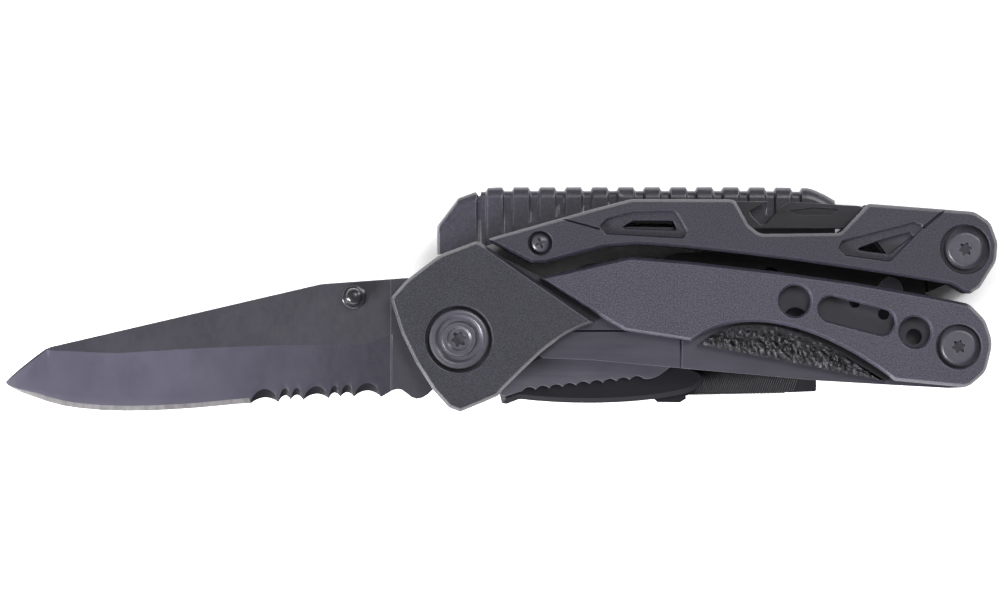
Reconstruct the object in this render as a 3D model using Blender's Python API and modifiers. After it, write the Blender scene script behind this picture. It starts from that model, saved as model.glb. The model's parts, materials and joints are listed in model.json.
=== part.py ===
"""Folding multi tool: a locking knife and four small tools in the lower handle, an opener in the
upper handle, and a pair of pliers that folds away between the two.

The tool lies on its back. It is drawn flat, in millimetres, on a sketch whose x runs from the knife's
tip to the pliers' hinges and whose y runs from the lower handle to the upper one; z is the height above
the table. An empty at the middle of the sketch carries every part into the part's own frame.
"""

import math

import bmesh
import bpy
from mathutils import Vector

MM = 0.001

# Overall reach of the tool on the sketch
TIP_X = -83.8
END_X = 100.13
LOW_Y = -12.3
TOP_Y = 29.3

# Pivots
KNIFE_PIVOT = (0.4, 1.1)
OPENER_PIVOT = (15.4, 18.8)
LOWER_PIVOT = (92.7, -0.3)
UPPER_PIVOT = (93.9, 17.7)
JAW_PIVOT = (80.5, 10.2)

# Layers, from the table up
BACK_SCALE = (0.0, 3.0)
BACK_LINER = (3.2, 4.4)
BAY = (4.6, 13.0)
INNER_LINER = (13.2, 14.4)
BACK_WASHER = (14.5, 14.9)
KNIFE = (15.0, 17.4)
FRONT_WASHER = (17.5, 17.9)
FRONT_LINER = (18.0, 19.2)
FRONT_SCALE = (19.4, 22.4)
BOLSTER_TOP = 23.2
FILE_LAYER = (4.8, 6.7)
DRIVER_LAYER = (7.0, 8.7)
BLADE_LAYER = (9.0, 10.8)
SCALER_LAYER = (11.1, 12.8)

# Fits
SLIDE_GAP = 0.15
SEAT_GAP = 0.2
AXLE_R = 2.6
HINGE_R = 2.6
OPENER_AXLE_R = 1.5
RIVET_R = 2.4
SEGMENTS = 24

# Pivot screws
SCREW_HEAD_R = 3.8
SCREW_HEAD_DEEP = 1.6
COUNTERBORE_R = 4.3
KNIFE_CAP_R = 5.5
KNIFE_CAP_DEEP = 2.0
KNIFE_BORE_R = 5.9
OPENER_HEAD_R = 1.95
OPENER_BORE_R = 2.35

# Pliers
PLIER_LAYER = (4.8, 12.8)
LAP_SPLIT = 8.8
LAP_R = 6.6
JAW_TILT = 6.5
JAW_LENGTH = 42.0

# Ribbed grip
GROOVE_FIRST_X = 4.6
GROOVE_PITCH = 4.85
GROOVE_COUNT = 13
GROOVE_WIDTH = 1.9
GROOVE_DEPTH = 0.75

COLOURS = {
    "scale": ((0.075, 0.072, 0.088), 0.55, 0.35),
    "liner": ((0.09, 0.087, 0.105), 0.35, 0.8),
    "blade": ((0.11, 0.105, 0.13), 0.32, 0.9),
    "steel": ((0.10, 0.10, 0.11), 0.3, 0.9),
    "grip": ((0.08, 0.078, 0.095), 0.75, 0.0),
    "inlay": ((0.05, 0.05, 0.058), 0.6, 0.0),
    "washer": ((0.55, 0.38, 0.18), 0.35, 1.0),
}

# Outlines: (x, y, corner radius), counterclockwise
LOWER_END = [(95.2, -8.5, 5.0), (99.1, -4.4, 5.0), (98.9, 2.6, 5.5), (95.4, 8.1, 4.0)]
LOWER_INNER_EDGE = [(87.9, 9.6, 0), (69.0, 12.4, 0), (50.1, 15.0, 0), (32.0, 16.5, 8.0), (26.5, 15.8, 8.0)]
LINER_LOWER_EDGE = [(26.5, -3.0, 0), (45.0, -4.6, 0), (63.5, -6.5, 0), (80.0, -7.9, 0)]
BOLSTER_TIP = (25.7, 4.1)
BOLSTER_SHOULDER = (4.4, 18.9)
BOLSTER_UNDERSIDE = [(0.6, -12.3, 1.2), (7.9, -9.2, 1.0), (12.2, -4.6, 0), (15.9, -1.1, 0), (20.0, 1.9, 5.0)]
BOLSTER_NOSE = [(3.0, 19.1, 1.0), (-3.3, 16.7, 8.0), (-9.4, 12.4, 8.0), (-12.3, 8.4, 1.2), (-10.2, 2.2, 0), (-7.4, -3.5, 0), (-4.4, -8.3, 0)]

UPPER_OUTER_EDGE = [(88.5, 25.5, 0), (75.7, 26.2, 1.5), (69.8, 20.4, 1.5), (56.0, 20.4, 3.0), (51.3, 26.8, 1.5), (32.6, 27.0, 5.0), (27.0, 25.1, 8.0), (5.2, 19.3, 0.8)]
UPPER_INNER_EDGE = [(14.1, 14.8, 0.8), (27.2, 17.4, 8.0), (31.5, 17.9, 8.0), (50.1, 16.2, 0), (69.0, 14.2, 0), (87.9, 11.3, 0)]
UPPER_END = [(91.5, 9.6, 2.0), (96.4, 9.2, 2.5), (100.3, 15.5, 5.0), (99.6, 22.6, 4.0), (96.6, 24.5, 4.0)]


# ---------------------------------------------------------------- flat geometry


def arc(centre, radius, start, end, steps):
    """Points along an arc, from one angle to another, in degrees."""
    angles = [math.radians(start + (end - start) * i / steps) for i in range(steps + 1)]
    return [(centre[0] + radius * math.cos(a), centre[1] + radius * math.sin(a)) for a in angles]


def circle(centre, radius, steps=SEGMENTS):
    return arc(centre, radius, 0, 360, steps)[:-1]


def slot(centre, length, width, angle):
    """A round-ended slot, turned by angle."""
    turn = math.radians(angle)
    half = (length - width) / 2
    right = (centre[0] + half * math.cos(turn), centre[1] + half * math.sin(turn))
    left = (centre[0] - half * math.cos(turn), centre[1] - half * math.sin(turn))
    return arc(right, width / 2, angle - 90, angle + 90, 8) + arc(left, width / 2, angle + 90, angle + 270, 8)


def bezier(start, pull_a, pull_b, end, steps):
    found = []
    for i in range(steps + 1):
        t = i / steps
        weights = ((1 - t) ** 3, 3 * t * (1 - t) ** 2, 3 * t * t * (1 - t), t**3)
        found.append(tuple(sum(w * p[k] for w, p in zip(weights, (start, pull_a, pull_b, end))) for k in (0, 1)))
    return found


def rounded(corners, steps=3):
    """The outline through these corners, each with its own fillet radius, or 0 for a sharp one."""
    found = []
    for i, (x, y, radius) in enumerate(corners):
        here = Vector((x, y))
        before = Vector(corners[i - 1][:2]) - here
        after = Vector(corners[(i + 1) % len(corners)][:2]) - here
        half = before.angle(after) / 2
        if radius <= 0 or half > math.radians(89):
            found.append((x, y))
            continue
        reach = min(radius / math.tan(half), 0.48 * before.length, 0.48 * after.length)
        start, end = here + before.normalized() * reach, here + after.normalized() * reach
        for k in range(steps + 1):
            t = k / steps
            point = start * (1 - t) ** 2 + here * 2 * t * (1 - t) + end * t * t
            found.append((point.x, point.y))
    return found


def turned_about(points, centre, degrees):
    a = math.radians(degrees)
    return [
        (
            centre[0] + (x - centre[0]) * math.cos(a) - (y - centre[1]) * math.sin(a),
            centre[1] + (x - centre[0]) * math.sin(a) + (y - centre[1]) * math.cos(a),
        )
        for x, y in points
    ]


def polar(centre, radius, degrees):
    return arc(centre, radius, degrees, degrees, 1)[0]


# ---------------------------------------------------------------- scene and solids


def clear_scene():
    for obj in list(bpy.data.objects):
        bpy.data.objects.remove(obj)


def collection(name):
    made = bpy.data.collections.new(name)
    bpy.context.scene.collection.children.link(made)
    return made


def material(name):
    found = bpy.data.materials.get(name)
    if found:
        return found
    colour, roughness, metallic = COLOURS[name]
    found = bpy.data.materials.new(name)
    found.use_nodes = True
    shader = found.node_tree.nodes["Principled BSDF"]
    shader.inputs["Base Color"].default_value = (*colour, 1.0)
    shader.inputs["Roughness"].default_value = roughness
    shader.inputs["Metallic"].default_value = metallic
    return found


def place(obj, finish=None):
    """Puts the object in the tool, or among the cutters if it has no finish."""
    if finish:
        PARTS.objects.link(obj)
        obj.data.materials.append(material(finish))
        obj.data.set_sharp_from_angle(angle=math.radians(35))
    else:
        CUTTERS.objects.link(obj)
        obj.hide_render = True
        obj.display_type = "WIRE"
    obj.parent = SKETCH
    return obj


def plate(name, layer, outline, holes=(), finish=None, at=None):
    """A flat plate between two heights. With at, its origin stands there instead of at the sketch's."""
    origin = at or (0.0, 0.0)
    curve = bpy.data.curves.new(name, "CURVE")
    curve.dimensions = "2D"
    curve.fill_mode = "BOTH"
    curve.extrude = (layer[1] - layer[0]) / 2 * MM
    for loop in (outline, *holes):
        spline = curve.splines.new("POLY")
        spline.points.add(len(loop) - 1)
        for point, (x, y) in zip(spline.points, loop):
            point.co = ((x - origin[0]) * MM, (y - origin[1]) * MM, 0.0, 1.0)
        spline.use_cyclic_u = True
    drawn = bpy.data.objects.new(name + "_outline", curve)
    CUTTERS.objects.link(drawn)
    graph = bpy.context.evaluated_depsgraph_get()
    mesh = bpy.data.meshes.new_from_object(drawn.evaluated_get(graph))
    bpy.data.objects.remove(drawn)
    weld(mesh)
    mesh.name = name
    obj = place(bpy.data.objects.new(name, mesh), finish)
    obj.location = (origin[0] * MM, origin[1] * MM, (layer[0] + layer[1]) / 2 * MM)
    return obj


def weld(mesh):
    whole = bmesh.new()
    whole.from_mesh(mesh)
    bmesh.ops.remove_doubles(whole, verts=whole.verts, dist=1e-6)
    bmesh.ops.recalc_face_normals(whole, faces=whole.faces)
    whole.to_mesh(mesh)
    whole.free()


def turned(name, centre, profile, finish, steps=SEGMENTS):
    """A turned piece: (radius, height) down its outer side, from the axis back to the axis."""
    mesh = bpy.data.meshes.new(name)
    points = [(r * MM, 0.0, z * MM) for r, z in profile]
    mesh.from_pydata(points, [(i, i + 1) for i in range(len(points) - 1)], [])
    obj = bpy.data.objects.new(name, mesh)
    obj.location = (centre[0] * MM, centre[1] * MM, 0.0)
    screw = obj.modifiers.new("turn", "SCREW")
    screw.steps = screw.render_steps = steps
    screw.use_merge_vertices = True
    screw.merge_threshold = 1e-6
    screw.use_smooth_shade = False
    return place(obj, finish)


def boolean(obj, other, operation="DIFFERENCE"):
    step = obj.modifiers.new(operation.lower(), "BOOLEAN")
    step.operation = operation
    step.object = other
    return obj


def bevel(obj, width, segments=1, angle=40):
    step = obj.modifiers.new("edges", "BEVEL")
    step.width = width * MM
    step.segments = segments
    step.limit_method = "ANGLE"
    step.angle_limit = math.radians(angle)
    return obj


def cutter(name, layer, outline):
    return plate(name, layer, outline)


def star_recess(obj, centre, radius, top, depth):
    """Cuts a six-lobed driver recess into the top of a screw."""
    lobes = [
        (
            centre[0] + radius * (0.86 + 0.14 * math.cos(6 * a)) * math.cos(a),
            centre[1] + radius * (0.86 + 0.14 * math.cos(6 * a)) * math.sin(a),
        )
        for a in (2 * math.pi * i / 24 for i in range(24))
    ]
    return boolean(obj, cutter(obj.name + "_recess", (top - depth, top + 1.0), lobes))


# ---------------------------------------------------------------- lower handle


def bolster_outline():
    tip = [(*BOLSTER_TIP, 0.5)]
    shoulder = [(*BOLSTER_SHOULDER, 0.8)]
    return rounded(BOLSTER_UNDERSIDE + tip + shoulder + BOLSTER_NOSE)


def lower_scale_outline():
    start = [(28.9, 3.3, 0.4), (43.5, 0.5, 0), (80.0, -7.1, 0)]
    return rounded(start + LOWER_END + LOWER_INNER_EDGE + [(14.1, 13.2, 0.4)])


def crescent(inset):
    """The inlay's outline: a straight lower edge with a curved upper one, drawn in by inset."""
    top = bezier((43.9 + 3 * inset, 0.42), (51.5, 6.6 - inset), (64.5, 5.8 - inset), (81.0 - 4 * inset, -7.1), 14)
    return top[::-1]


def lower_windows():
    return [circle((62.5, 8.1), 2.9, 20), slot((73.9, 5.4), 13.4, 4.9, -12.8), circle((84.6, 2.3), 2.9, 20)]


def liner_windows():
    """Lightening holes in the liner, which don't line up with the scale's windows."""
    return [circle(at, 1.3, 12) for at in ((62.4, 4.6), (71.6, 9.6), (79.6, 5.6), (84.5, 0.6))]


def handle_scales():
    """The cast outer plates of the lower handle, and the raised bolsters round the knife's pivot."""
    pivot_hole = circle(LOWER_PIVOT, HINGE_R + SLIDE_GAP)
    for side, layer, bolster_layer in (
        ("front", FRONT_SCALE, (FRONT_SCALE[0], BOLSTER_TOP)),
        ("back", BACK_SCALE, BACK_SCALE),
    ):
        outward = 1 if side == "front" else -1
        scale = plate(f"lower_{side}_scale", layer, lower_scale_outline(), [pivot_hole, *lower_windows()], "scale")
        boolean(scale, cutter(f"{side}_crescent", (layer[0] - 1, layer[1] + 1), wide_crescent()))
        boolean(scale, counterbore(side, layer, LOWER_PIVOT, COUNTERBORE_R, SCREW_HEAD_DEEP, f"lower_{side}"))
        plate(f"lower_{side}_grip_inlay", inlay_layer(layer, outward), crescent(0.3), finish="inlay")
        bolster = plate(
            f"{side}_bolster", bolster_layer, bolster_outline(), [circle(KNIFE_PIVOT, AXLE_R + SLIDE_GAP)], "scale"
        )
        boolean(bolster, counterbore(side, bolster_layer, KNIFE_PIVOT, KNIFE_BORE_R, KNIFE_CAP_DEEP, f"{side}_bolster"))


def wide_crescent():
    """The crescent with its ends carried past the scale's lower edge, so that the cut is open there."""
    top = crescent(0.0)
    return top + [(43.9, -9.0), (81.0, -9.0)]


def inlay_layer(layer, outward):
    if outward > 0:
        return (layer[0], layer[1] - 0.5)
    return (layer[0] + 0.5, layer[1])


def counterbore(side, layer, centre, radius, deep, name):
    span = (layer[1] - deep, layer[1] + 1) if side == "front" else (layer[0] - 1, layer[0] + deep)
    return cutter(name + "_counterbore", span, circle(centre, radius))


def liner_outline():
    """The steel liner: as the scale and bolster together, but straight along its lower edge."""
    inset_under = [(0.6, -11.9, 1.2), (7.7, -8.9, 1.0), (12.0, -4.3, 0), (14.6, -1.9, 0)]
    lower = [(19.0, -2.4, 0), *LINER_LOWER_EDGE, (91.0, -8.3, 0)]
    nose = [(4.6, 18.3, 1.0), (3.0, 18.6, 1.0), (-3.1, 16.3, 8.0), (-9.1, 12.1, 8.0), (-11.9, 8.3, 1.2), (-9.8, 2.1, 0), (-7.0, -3.5, 0), (-4.1, -8.1, 0)]
    return inset_under, lower, nose


def lower_liners():
    """Front liner with the slot that its lock bar leaves, the partition, and the back liner."""
    under, lower, nose = liner_outline()
    inner = LOWER_END + LOWER_INNER_EDGE + [(14.0, 12.6, 0.4)]
    whole = rounded(under + lower + inner + nose)
    slot_for_bar = [(14.6, -1.9, 0), (6.7, -1.9, 0), (6.7, 2.75, 0), (41.6, 2.75, 0), (41.6, -4.3, 0)]
    cut_back = rounded(under[:-1] + slot_for_bar + lower[2:] + inner + nose)
    holes = [circle(KNIFE_PIVOT, AXLE_R + SLIDE_GAP), circle(LOWER_PIVOT, HINGE_R + SLIDE_GAP)]
    pins = [circle(STOP_PIN, PIN_R + SLIDE_GAP, 12), circle(STANDOFF, PIN_R + SLIDE_GAP, 12)]
    plate("knife_side_liner", FRONT_LINER, cut_back, holes + pins + liner_windows(), "liner")
    plate("partition_liner", INNER_LINER, whole, holes + pins, "liner")
    plate("lower_back_liner", BACK_LINER, whole, holes + pins[1:] + liner_windows(), "liner")


STOP_PIN = polar(KNIFE_PIVOT, 10.4, 66)
STANDOFF = (27.4, 13.4)
PIN_R = 1.3


def lock_bar():
    """The spring arm cut from the front liner, whose end stands behind the knife's tang."""
    outline = [(6.95, -1.6, 0.2), (14.4, -1.6, 0), (19.0, -2.1, 0), (26.5, -2.8, 0), (41.3, -4.0, 0), (41.3, 2.45, 0), (6.95, 2.45, 0.4)]
    plate("liner_lock_bar", FRONT_LINER, rounded(outline, 3), finish="liner", at=(41.3, 0.0))


def lower_fasteners():
    """Everything that holds the lower handle together."""
    axle_span = (BACK_SCALE[0] + KNIFE_CAP_DEEP + 0.1, BOLSTER_TOP - KNIFE_CAP_DEEP - 0.1)
    plate("knife_axle", axle_span, circle(KNIFE_PIVOT, AXLE_R), finish="steel")
    front = knife_cap("knife_pivot_screw", BOLSTER_TOP - 0.1, -1)
    star_recess(front, KNIFE_PIVOT, 1.5, BOLSTER_TOP - 0.5, 1.0)
    back = knife_cap("knife_pivot_nut", 0.1, 1)
    back_recess(back, KNIFE_PIVOT, 1.5, 0.5, 1.0)
    plate("knife_stop_pin", (INNER_LINER[0], FRONT_LINER[1]), circle(STOP_PIN, PIN_R, 12), finish="steel")
    plate("liner_standoff", (BACK_LINER[0], FRONT_LINER[1]), circle(STANDOFF, PIN_R, 12), finish="steel")
    ring = [circle(KNIFE_PIVOT, AXLE_R + SLIDE_GAP)]
    plate("knife_back_washer", BACK_WASHER, circle(KNIFE_PIVOT, 5.6), ring, "washer")
    plate("knife_front_washer", FRONT_WASHER, circle(KNIFE_PIVOT, 5.6), ring, "washer")
    backspring()
    hinge_set("lower", LOWER_PIVOT, (BACK_WASHER[0], FRONT_WASHER[1]))


def knife_cap(name, face, inward):
    """The ringed cap of the knife's pivot, with its face outwards."""
    steps = [(0, 0.4), (2.4, 0.4), (2.7, 0.1), (3.3, 0.1), (3.6, 0.45), (4.4, 0.45), (4.8, 0.0), (5.2, 0.0), (KNIFE_CAP_R, 0.3)]
    profile = [(r, face + inward * d) for r, d in steps] + [(KNIFE_CAP_R, face + inward * 1.8), (0, face + inward * 1.8)]
    return turned(name, KNIFE_PIVOT, profile if inward < 0 else profile[::-1], "steel")


def back_recess(obj, centre, radius, face, depth):
    return boolean(obj, cutter(obj.name + "_recess", (face - 1.0, face + depth), circle(centre, radius, 6)))


def hinge_set(which, centre, spacer_layer):
    """One of the two hinges that carry the pliers: screw, sleeve nut and the spacer in the knife's layer."""
    top, bottom = FRONT_SCALE[1] - 0.1, BACK_SCALE[0] + 0.1
    rim = SCREW_HEAD_R
    head = [(0, top), (rim - 0.7, top), (rim, top - 0.7), (rim, top - 1.3)]
    screw = turned(f"{which}_hinge_screw", centre, head + [(HINGE_R, top - 1.3), (HINGE_R, 9.0), (0, 9.0)], "steel")
    star_recess(screw, centre, 1.3, top, 1.0)
    base = [(0, 8.8), (HINGE_R, 8.8), (HINGE_R, bottom + 1.3), (rim, bottom + 1.3), (rim, bottom + 0.7), (rim - 0.7, bottom), (0, bottom)]
    nut = turned(f"{which}_hinge_nut", centre, base, "steel")
    back_recess(nut, centre, 1.5, bottom, 1.0)
    plate(f"{which}_hinge_spacer", spacer_layer, circle(centre, 4.4), [circle(centre, HINGE_R + SLIDE_GAP)], "steel")


def backspring():
    """The leaf spring that presses on the small tools' tangs."""
    outline = [(2.5, 6.3, 0.4), (8.5, 6.3, 2.0), (15.5, 8.2, 2.0), (24.0, 10.2, 2.0), (31.5, 11.2, 1.0), (31.5, 15.6, 1.0), (24.0, 15.0, 1.5), (15.0, 10.9, 3.0), (8.0, 8.6, 3.0), (2.5, 8.0, 0.4)]
    plate("tool_backspring", (BAY[0], BAY[1]), rounded(outline, 3), [circle(STANDOFF, PIN_R + SLIDE_GAP, 16)], "steel")


# ---------------------------------------------------------------- knife


def serrations(start, end):
    """Scallops between two points of the edge: one wide and two narrow ones in turn, and a wide one last."""
    widths = (1.5, 0.62, 0.62, 1.4, 0.62, 0.62, 1.5)
    span = end[0] - start[0]
    gap = 0.12
    unit = (span - gap * (len(widths) - 1)) / sum(widths)
    found, x = [], start[0]
    for w in widths:
        wide = w * unit
        depth = 0.42 * wide if w > 1 else 0.62 * wide
        for k in range(5 if w < 1 else 7):
            t = k / (4 if w < 1 else 6)
            base = start[1] + (end[1] - start[1]) * (x + t * wide - start[0]) / span
            found.append((x + t * wide, base + depth * math.sin(math.pi * t)))
        x += wide + gap
    return found


def knife_outline():
    tip = (TIP_X, -7.0)
    edge = bezier(tip, (-76.0, -10.9), (-66.0, LOW_Y - 0.55), (-52.0, -12.2), 10)
    spine = [(-9.7, 12.4), (-25.1, 11.0), (-75.6, -0.7)]
    heel = [(-13.2, -9.4), (-11.9, -8.3), (-10.3, -8.4), (-8.6, -9.9), (-7.4, -10.2), (-5.2, -9.2)]
    tang = arc(KNIFE_PIVOT, 8.7, 246, 336, 10)
    neck = arc(KNIFE_PIVOT, 6.3, 336, 430, 10)
    shoulder = [(2.8, 8.2), (2.8, 12.0), (2.2, 12.5)]
    return edge + serrations((-38.5, -11.0), (-13.9, -9.7)) + heel + tang + neck + shoulder + spine


def knife():
    """The blade, flat on its spine half and ground thin towards its edge, with its thumb stud."""
    holes = [circle(KNIFE_PIVOT, AXLE_R + SLIDE_GAP), circle(STUD, STUD_SHANK_R + SLIDE_GAP, 16)]
    blade = plate("knife_blade", KNIFE, knife_outline(), holes, "blade", at=KNIFE_PIVOT)
    thick = KNIFE[1] - KNIFE[0]
    slope = math.atan2(thick / 2 - 0.2, 11.5)
    for side in (1, -1):
        bpy.ops.mesh.primitive_cube_add(size=1)
        wedge = bpy.context.active_object
        wedge.name = f"grind_{'front' if side > 0 else 'back'}"
        for holder in list(wedge.users_collection):
            holder.objects.unlink(wedge)
        # a slab whose inner face passes through the grind line and falls towards the edge
        for vertex in wedge.data.vertices:
            x, y, z = vertex.co
            vertex.co = (x * 80 * MM, (y - 0.5) * 30 * MM, (z + 0.5) * side * 6 * MM)
        if side < 0:
            wedge.data.flip_normals()
        place(wedge)
        wedge.location = (-52.2 * MM, -0.2 * MM, ((KNIFE[0] + KNIFE[1]) / 2 + side * thick / 2) * MM)
        wedge.rotation_euler = (side * slope, 0.0, math.radians(2.0))
        boolean(blade, wedge)
    top = KNIFE[1]
    stud = [(0, top + 3.4), (0.7, top + 3.3), (1.3, top + 2.8), (1.5, top + 2.2), (1.3, top + 1.6), (1.2, top + 1.2), (2.0, top + 0.9), (2.0, top + 0.2)]
    turned("thumb_stud", STUD, stud + [(STUD_SHANK_R, top + 0.2), (STUD_SHANK_R, KNIFE[0] + 0.1), (0, KNIFE[0] + 0.1)], "steel", 20)


STUD = (-19.4, 8.9)
STUD_SHANK_R = 1.1


# ---------------------------------------------------------------- small tools in the lower handle


def scaler_edge():
    """Eight blunt scallops along the fish scaler's outer edge."""
    first, last, count = (12.9, -8.4), (35.3, -6.2), 8
    found = []
    for i in range(count * 4 + 1):
        t = i / (count * 4)
        lift = 0.55 * abs(math.sin(math.pi * t * count))
        found.append((first[0] + (last[0] - first[0]) * t, first[1] + (last[1] - first[1]) * t + lift))
    return found


def tool_tang(start, end):
    return arc(KNIFE_PIVOT, 4.8, start, end, 12)


def lower_tools():
    """Fish scaler, small blade, flat driver and file, all on the knife's axle."""
    hole = [circle(KNIFE_PIVOT, AXLE_R + SLIDE_GAP)]
    scaler = tool_tang(62, 230) + [(6.5, -8.6), (8.9, -9.7)] + scaler_edge() + bezier((36.2, -6.3), (38.0, -6.2), (39.0, -5.0), (40.2, -3.6), 4) + [(38.5, -1.6), (15.0, 2.2), (7.5, 4.8)]
    plate("fish_scaler", SCALER_LAYER, scaler, hole, "blade", at=KNIFE_PIVOT)
    belly = [(6.2, -7.9), (8.0, -9.4), (8.4, -11.1), (9.4, -11.2), (11.6, -10.2)]
    back = bezier((12.2, -10.3), (22.0, -11.6), (34.0, -11.4), (42.5, -9.2), 8)
    nose = bezier((43.6, -8.8), (46.2, -7.6), (47.0, -5.4), (45.6, -4.6), 4)
    blade = tool_tang(62, 232) + belly + back + nose + [(42.0, -3.0), (20.0, -1.2), (7.5, 4.8)]
    plate("small_blade", BLADE_LAYER, blade, hole, "blade", at=KNIFE_PIVOT)
    driver = tool_tang(62, 236) + [(9.0, -9.6), (36.5, -10.9), (41.8, -11.0), (42.7, -10.2), (42.5, -6.2), (36.5, -4.0), (12.0, 0.5), (7.5, 4.8)]
    plate("flat_driver", DRIVER_LAYER, driver, hole, "blade", at=KNIFE_PIVOT)
    file = tool_tang(62, 240) + [(9.0, -8.6), (44.0, -9.5), (66.8, -8.7), (66.9, -2.2), (44.0, -1.2), (14.0, 1.8), (7.5, 4.8)]
    plate("file", FILE_LAYER, file, hole, "blade", at=KNIFE_PIVOT)


# ---------------------------------------------------------------- pliers


def jaw_outline(side):
    """One jaw, drawn along +x from the jaws' pivot, on the side y > 0 or y < 0 of the closing line."""
    gap = 0.12
    teeth = []
    for i in range(9):
        x = JAW_LENGTH - 1.0 - i * 1.6
        teeth += [(x, gap), (x - 0.8, gap + 0.5)]
    pipe = arc((22.5, 0.0), 1.7, 4.5, 175.5, 8)
    face = [(JAW_LENGTH, gap)] + teeth + [(25.6, gap)] + pipe + [(19.2, gap), (6.0, gap)]
    outer = [(2.0, 6.4), (9.0, 6.3), (20.0, 4.9), (JAW_LENGTH - 2.0, 2.3), (JAW_LENGTH, 1.5)]
    loop = face + outer
    return [(x, side * y) for x, y in loop]


def place_jaw(points):
    """From jaw coordinates to the sketch: the jaws point to -x, tilted up a little."""
    flipped = [(JAW_PIVOT[0] - x, JAW_PIVOT[1] + y) for x, y in points]
    return turned_about(flipped, JAW_PIVOT, -JAW_TILT)


def tang_outline(pivot, radius):
    """A bar from the jaws' pivot to a handle's hinge."""
    reach = Vector(pivot) - Vector(JAW_PIVOT)
    heading = math.degrees(math.atan2(reach.y, reach.x))
    return arc(JAW_PIVOT, 3.0, heading + 90, heading + 270, 10) + arc(pivot, radius, heading - 90, heading + 90, 14)


def plier_half(name, side, hinge, lap):
    """One half of the pliers: its jaw, its half of the lap joint and the tang to its handle."""
    half = plate(name, PLIER_LAYER, place_jaw(jaw_outline(side)), finish="steel", at=JAW_PIVOT)
    tang = cutter(f"{name}_tang", PLIER_LAYER, tang_outline(hinge, 4.9))
    boolean(half, tang, "UNION")
    disc = cutter(f"{name}_lap", PLIER_LAYER, circle(JAW_PIVOT, LAP_R))
    boolean(half, disc, "UNION")
    other = (PLIER_LAYER[0] - 1, LAP_SPLIT) if lap == "front" else (LAP_SPLIT - 0.2, PLIER_LAYER[1] + 1)
    boolean(half, cutter(f"{name}_relief", other, circle(JAW_PIVOT, LAP_R + 0.35)))
    for hole, radius, label in ((JAW_PIVOT, RIVET_R, "rivet"), (hinge, HINGE_R, "hinge")):
        span = (PLIER_LAYER[0] - 2, PLIER_LAYER[1] + 2)
        boolean(half, cutter(f"{name}_{label}_hole", span, circle(hole, radius + SLIDE_GAP)))
    return half


def pliers():
    plier_half("plier_jaw_upper", 1, LOWER_PIVOT, "front")
    plier_half("plier_jaw_lower", -1, UPPER_PIVOT, "back")
    plate("plier_rivet", PLIER_LAYER, circle(JAW_PIVOT, RIVET_R), finish="steel")


# ---------------------------------------------------------------- upper handle


def upper_outline():
    return rounded(UPPER_END + UPPER_OUTER_EDGE + UPPER_INNER_EDGE)


def long_window(grow):
    """The long window near the opener's pivot."""
    g = grow
    return rounded([(29.4 - 1.6 * g, 21.0 - g, 0.3), (40.9 + g, 20.8 - g, 0.3), (39.5 + 0.6 * g, 23.1 + g, 0.3), (32.6 - 0.4 * g, 23.2 + g, 0.8)], 3)


def wedge_window(grow):
    """The pointed window near the pliers' hinge."""
    g = grow
    return rounded([(73.4 - 2.0 * g, 17.3 - g, 0.3), (79.4 + 0.3 * g, 16.6 - g, 0.3), (83.5 + g, 20.4 + 0.2 * g, 0.4), (82.6 + 0.3 * g, 21.1 + g, 0.4)], 3)


def upper_plates():
    """Scales and liners of the upper handle."""
    hinge = circle(UPPER_PIVOT, HINGE_R + SLIDE_GAP)
    axle = circle(OPENER_PIVOT, OPENER_AXLE_R + SLIDE_GAP, 20)
    for side, layer in (("front", FRONT_SCALE), ("back", BACK_SCALE)):
        name = f"upper_{side}_scale"
        scale = plate(name, layer, upper_outline(), [hinge, axle, long_window(0), wedge_window(0)], "scale")
        recess = (layer[1] - 1.6, layer[1] + 1) if side == "front" else (layer[0] - 1, layer[0] + 1.6)
        boolean(scale, cutter(f"{name}_long_recess", recess, long_window(1.1)))
        boolean(scale, cutter(f"{name}_wedge_recess", recess, wedge_window(1.1)))
        boolean(scale, counterbore(side, layer, UPPER_PIVOT, COUNTERBORE_R + 0.3, SCREW_HEAD_DEEP, name))
        boolean(scale, counterbore(side, layer, OPENER_PIVOT, OPENER_BORE_R, 1.5, f"{name}_axle"))
    inset = [(x, y, r) for x, y, r in UPPER_OUTER_EDGE[:1]] + [(76.2, 25.7, 1.5), (70.0, 19.9, 1.5), (55.8, 19.9, 3.0), (51.0, 26.2, 1.5), (32.7, 26.4, 5.0), (27.0, 24.6, 8.0), (6.6, 19.0, 0.8)]
    liner = rounded(UPPER_END + inset + [(14.1, 15.1, 0.8)] + UPPER_INNER_EDGE[1:])
    opening = rounded([(29.0, 20.6, 0.5), (41.0, 20.3, 0.5), (40.4, 23.4, 0.5), (32.0, 23.5, 0.5)], 3)
    wedge = rounded([(72.0, 17.2, 0.3), (79.8, 16.2, 0.3), (77.4, 19.6, 0.3)], 3)
    for name, layer in (("upper_front_liner", FRONT_LINER), ("upper_partition", INNER_LINER), ("upper_back_liner", BACK_LINER)):
        plate(name, layer, liner, [hinge, axle, opening, wedge], "liner")


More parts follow.
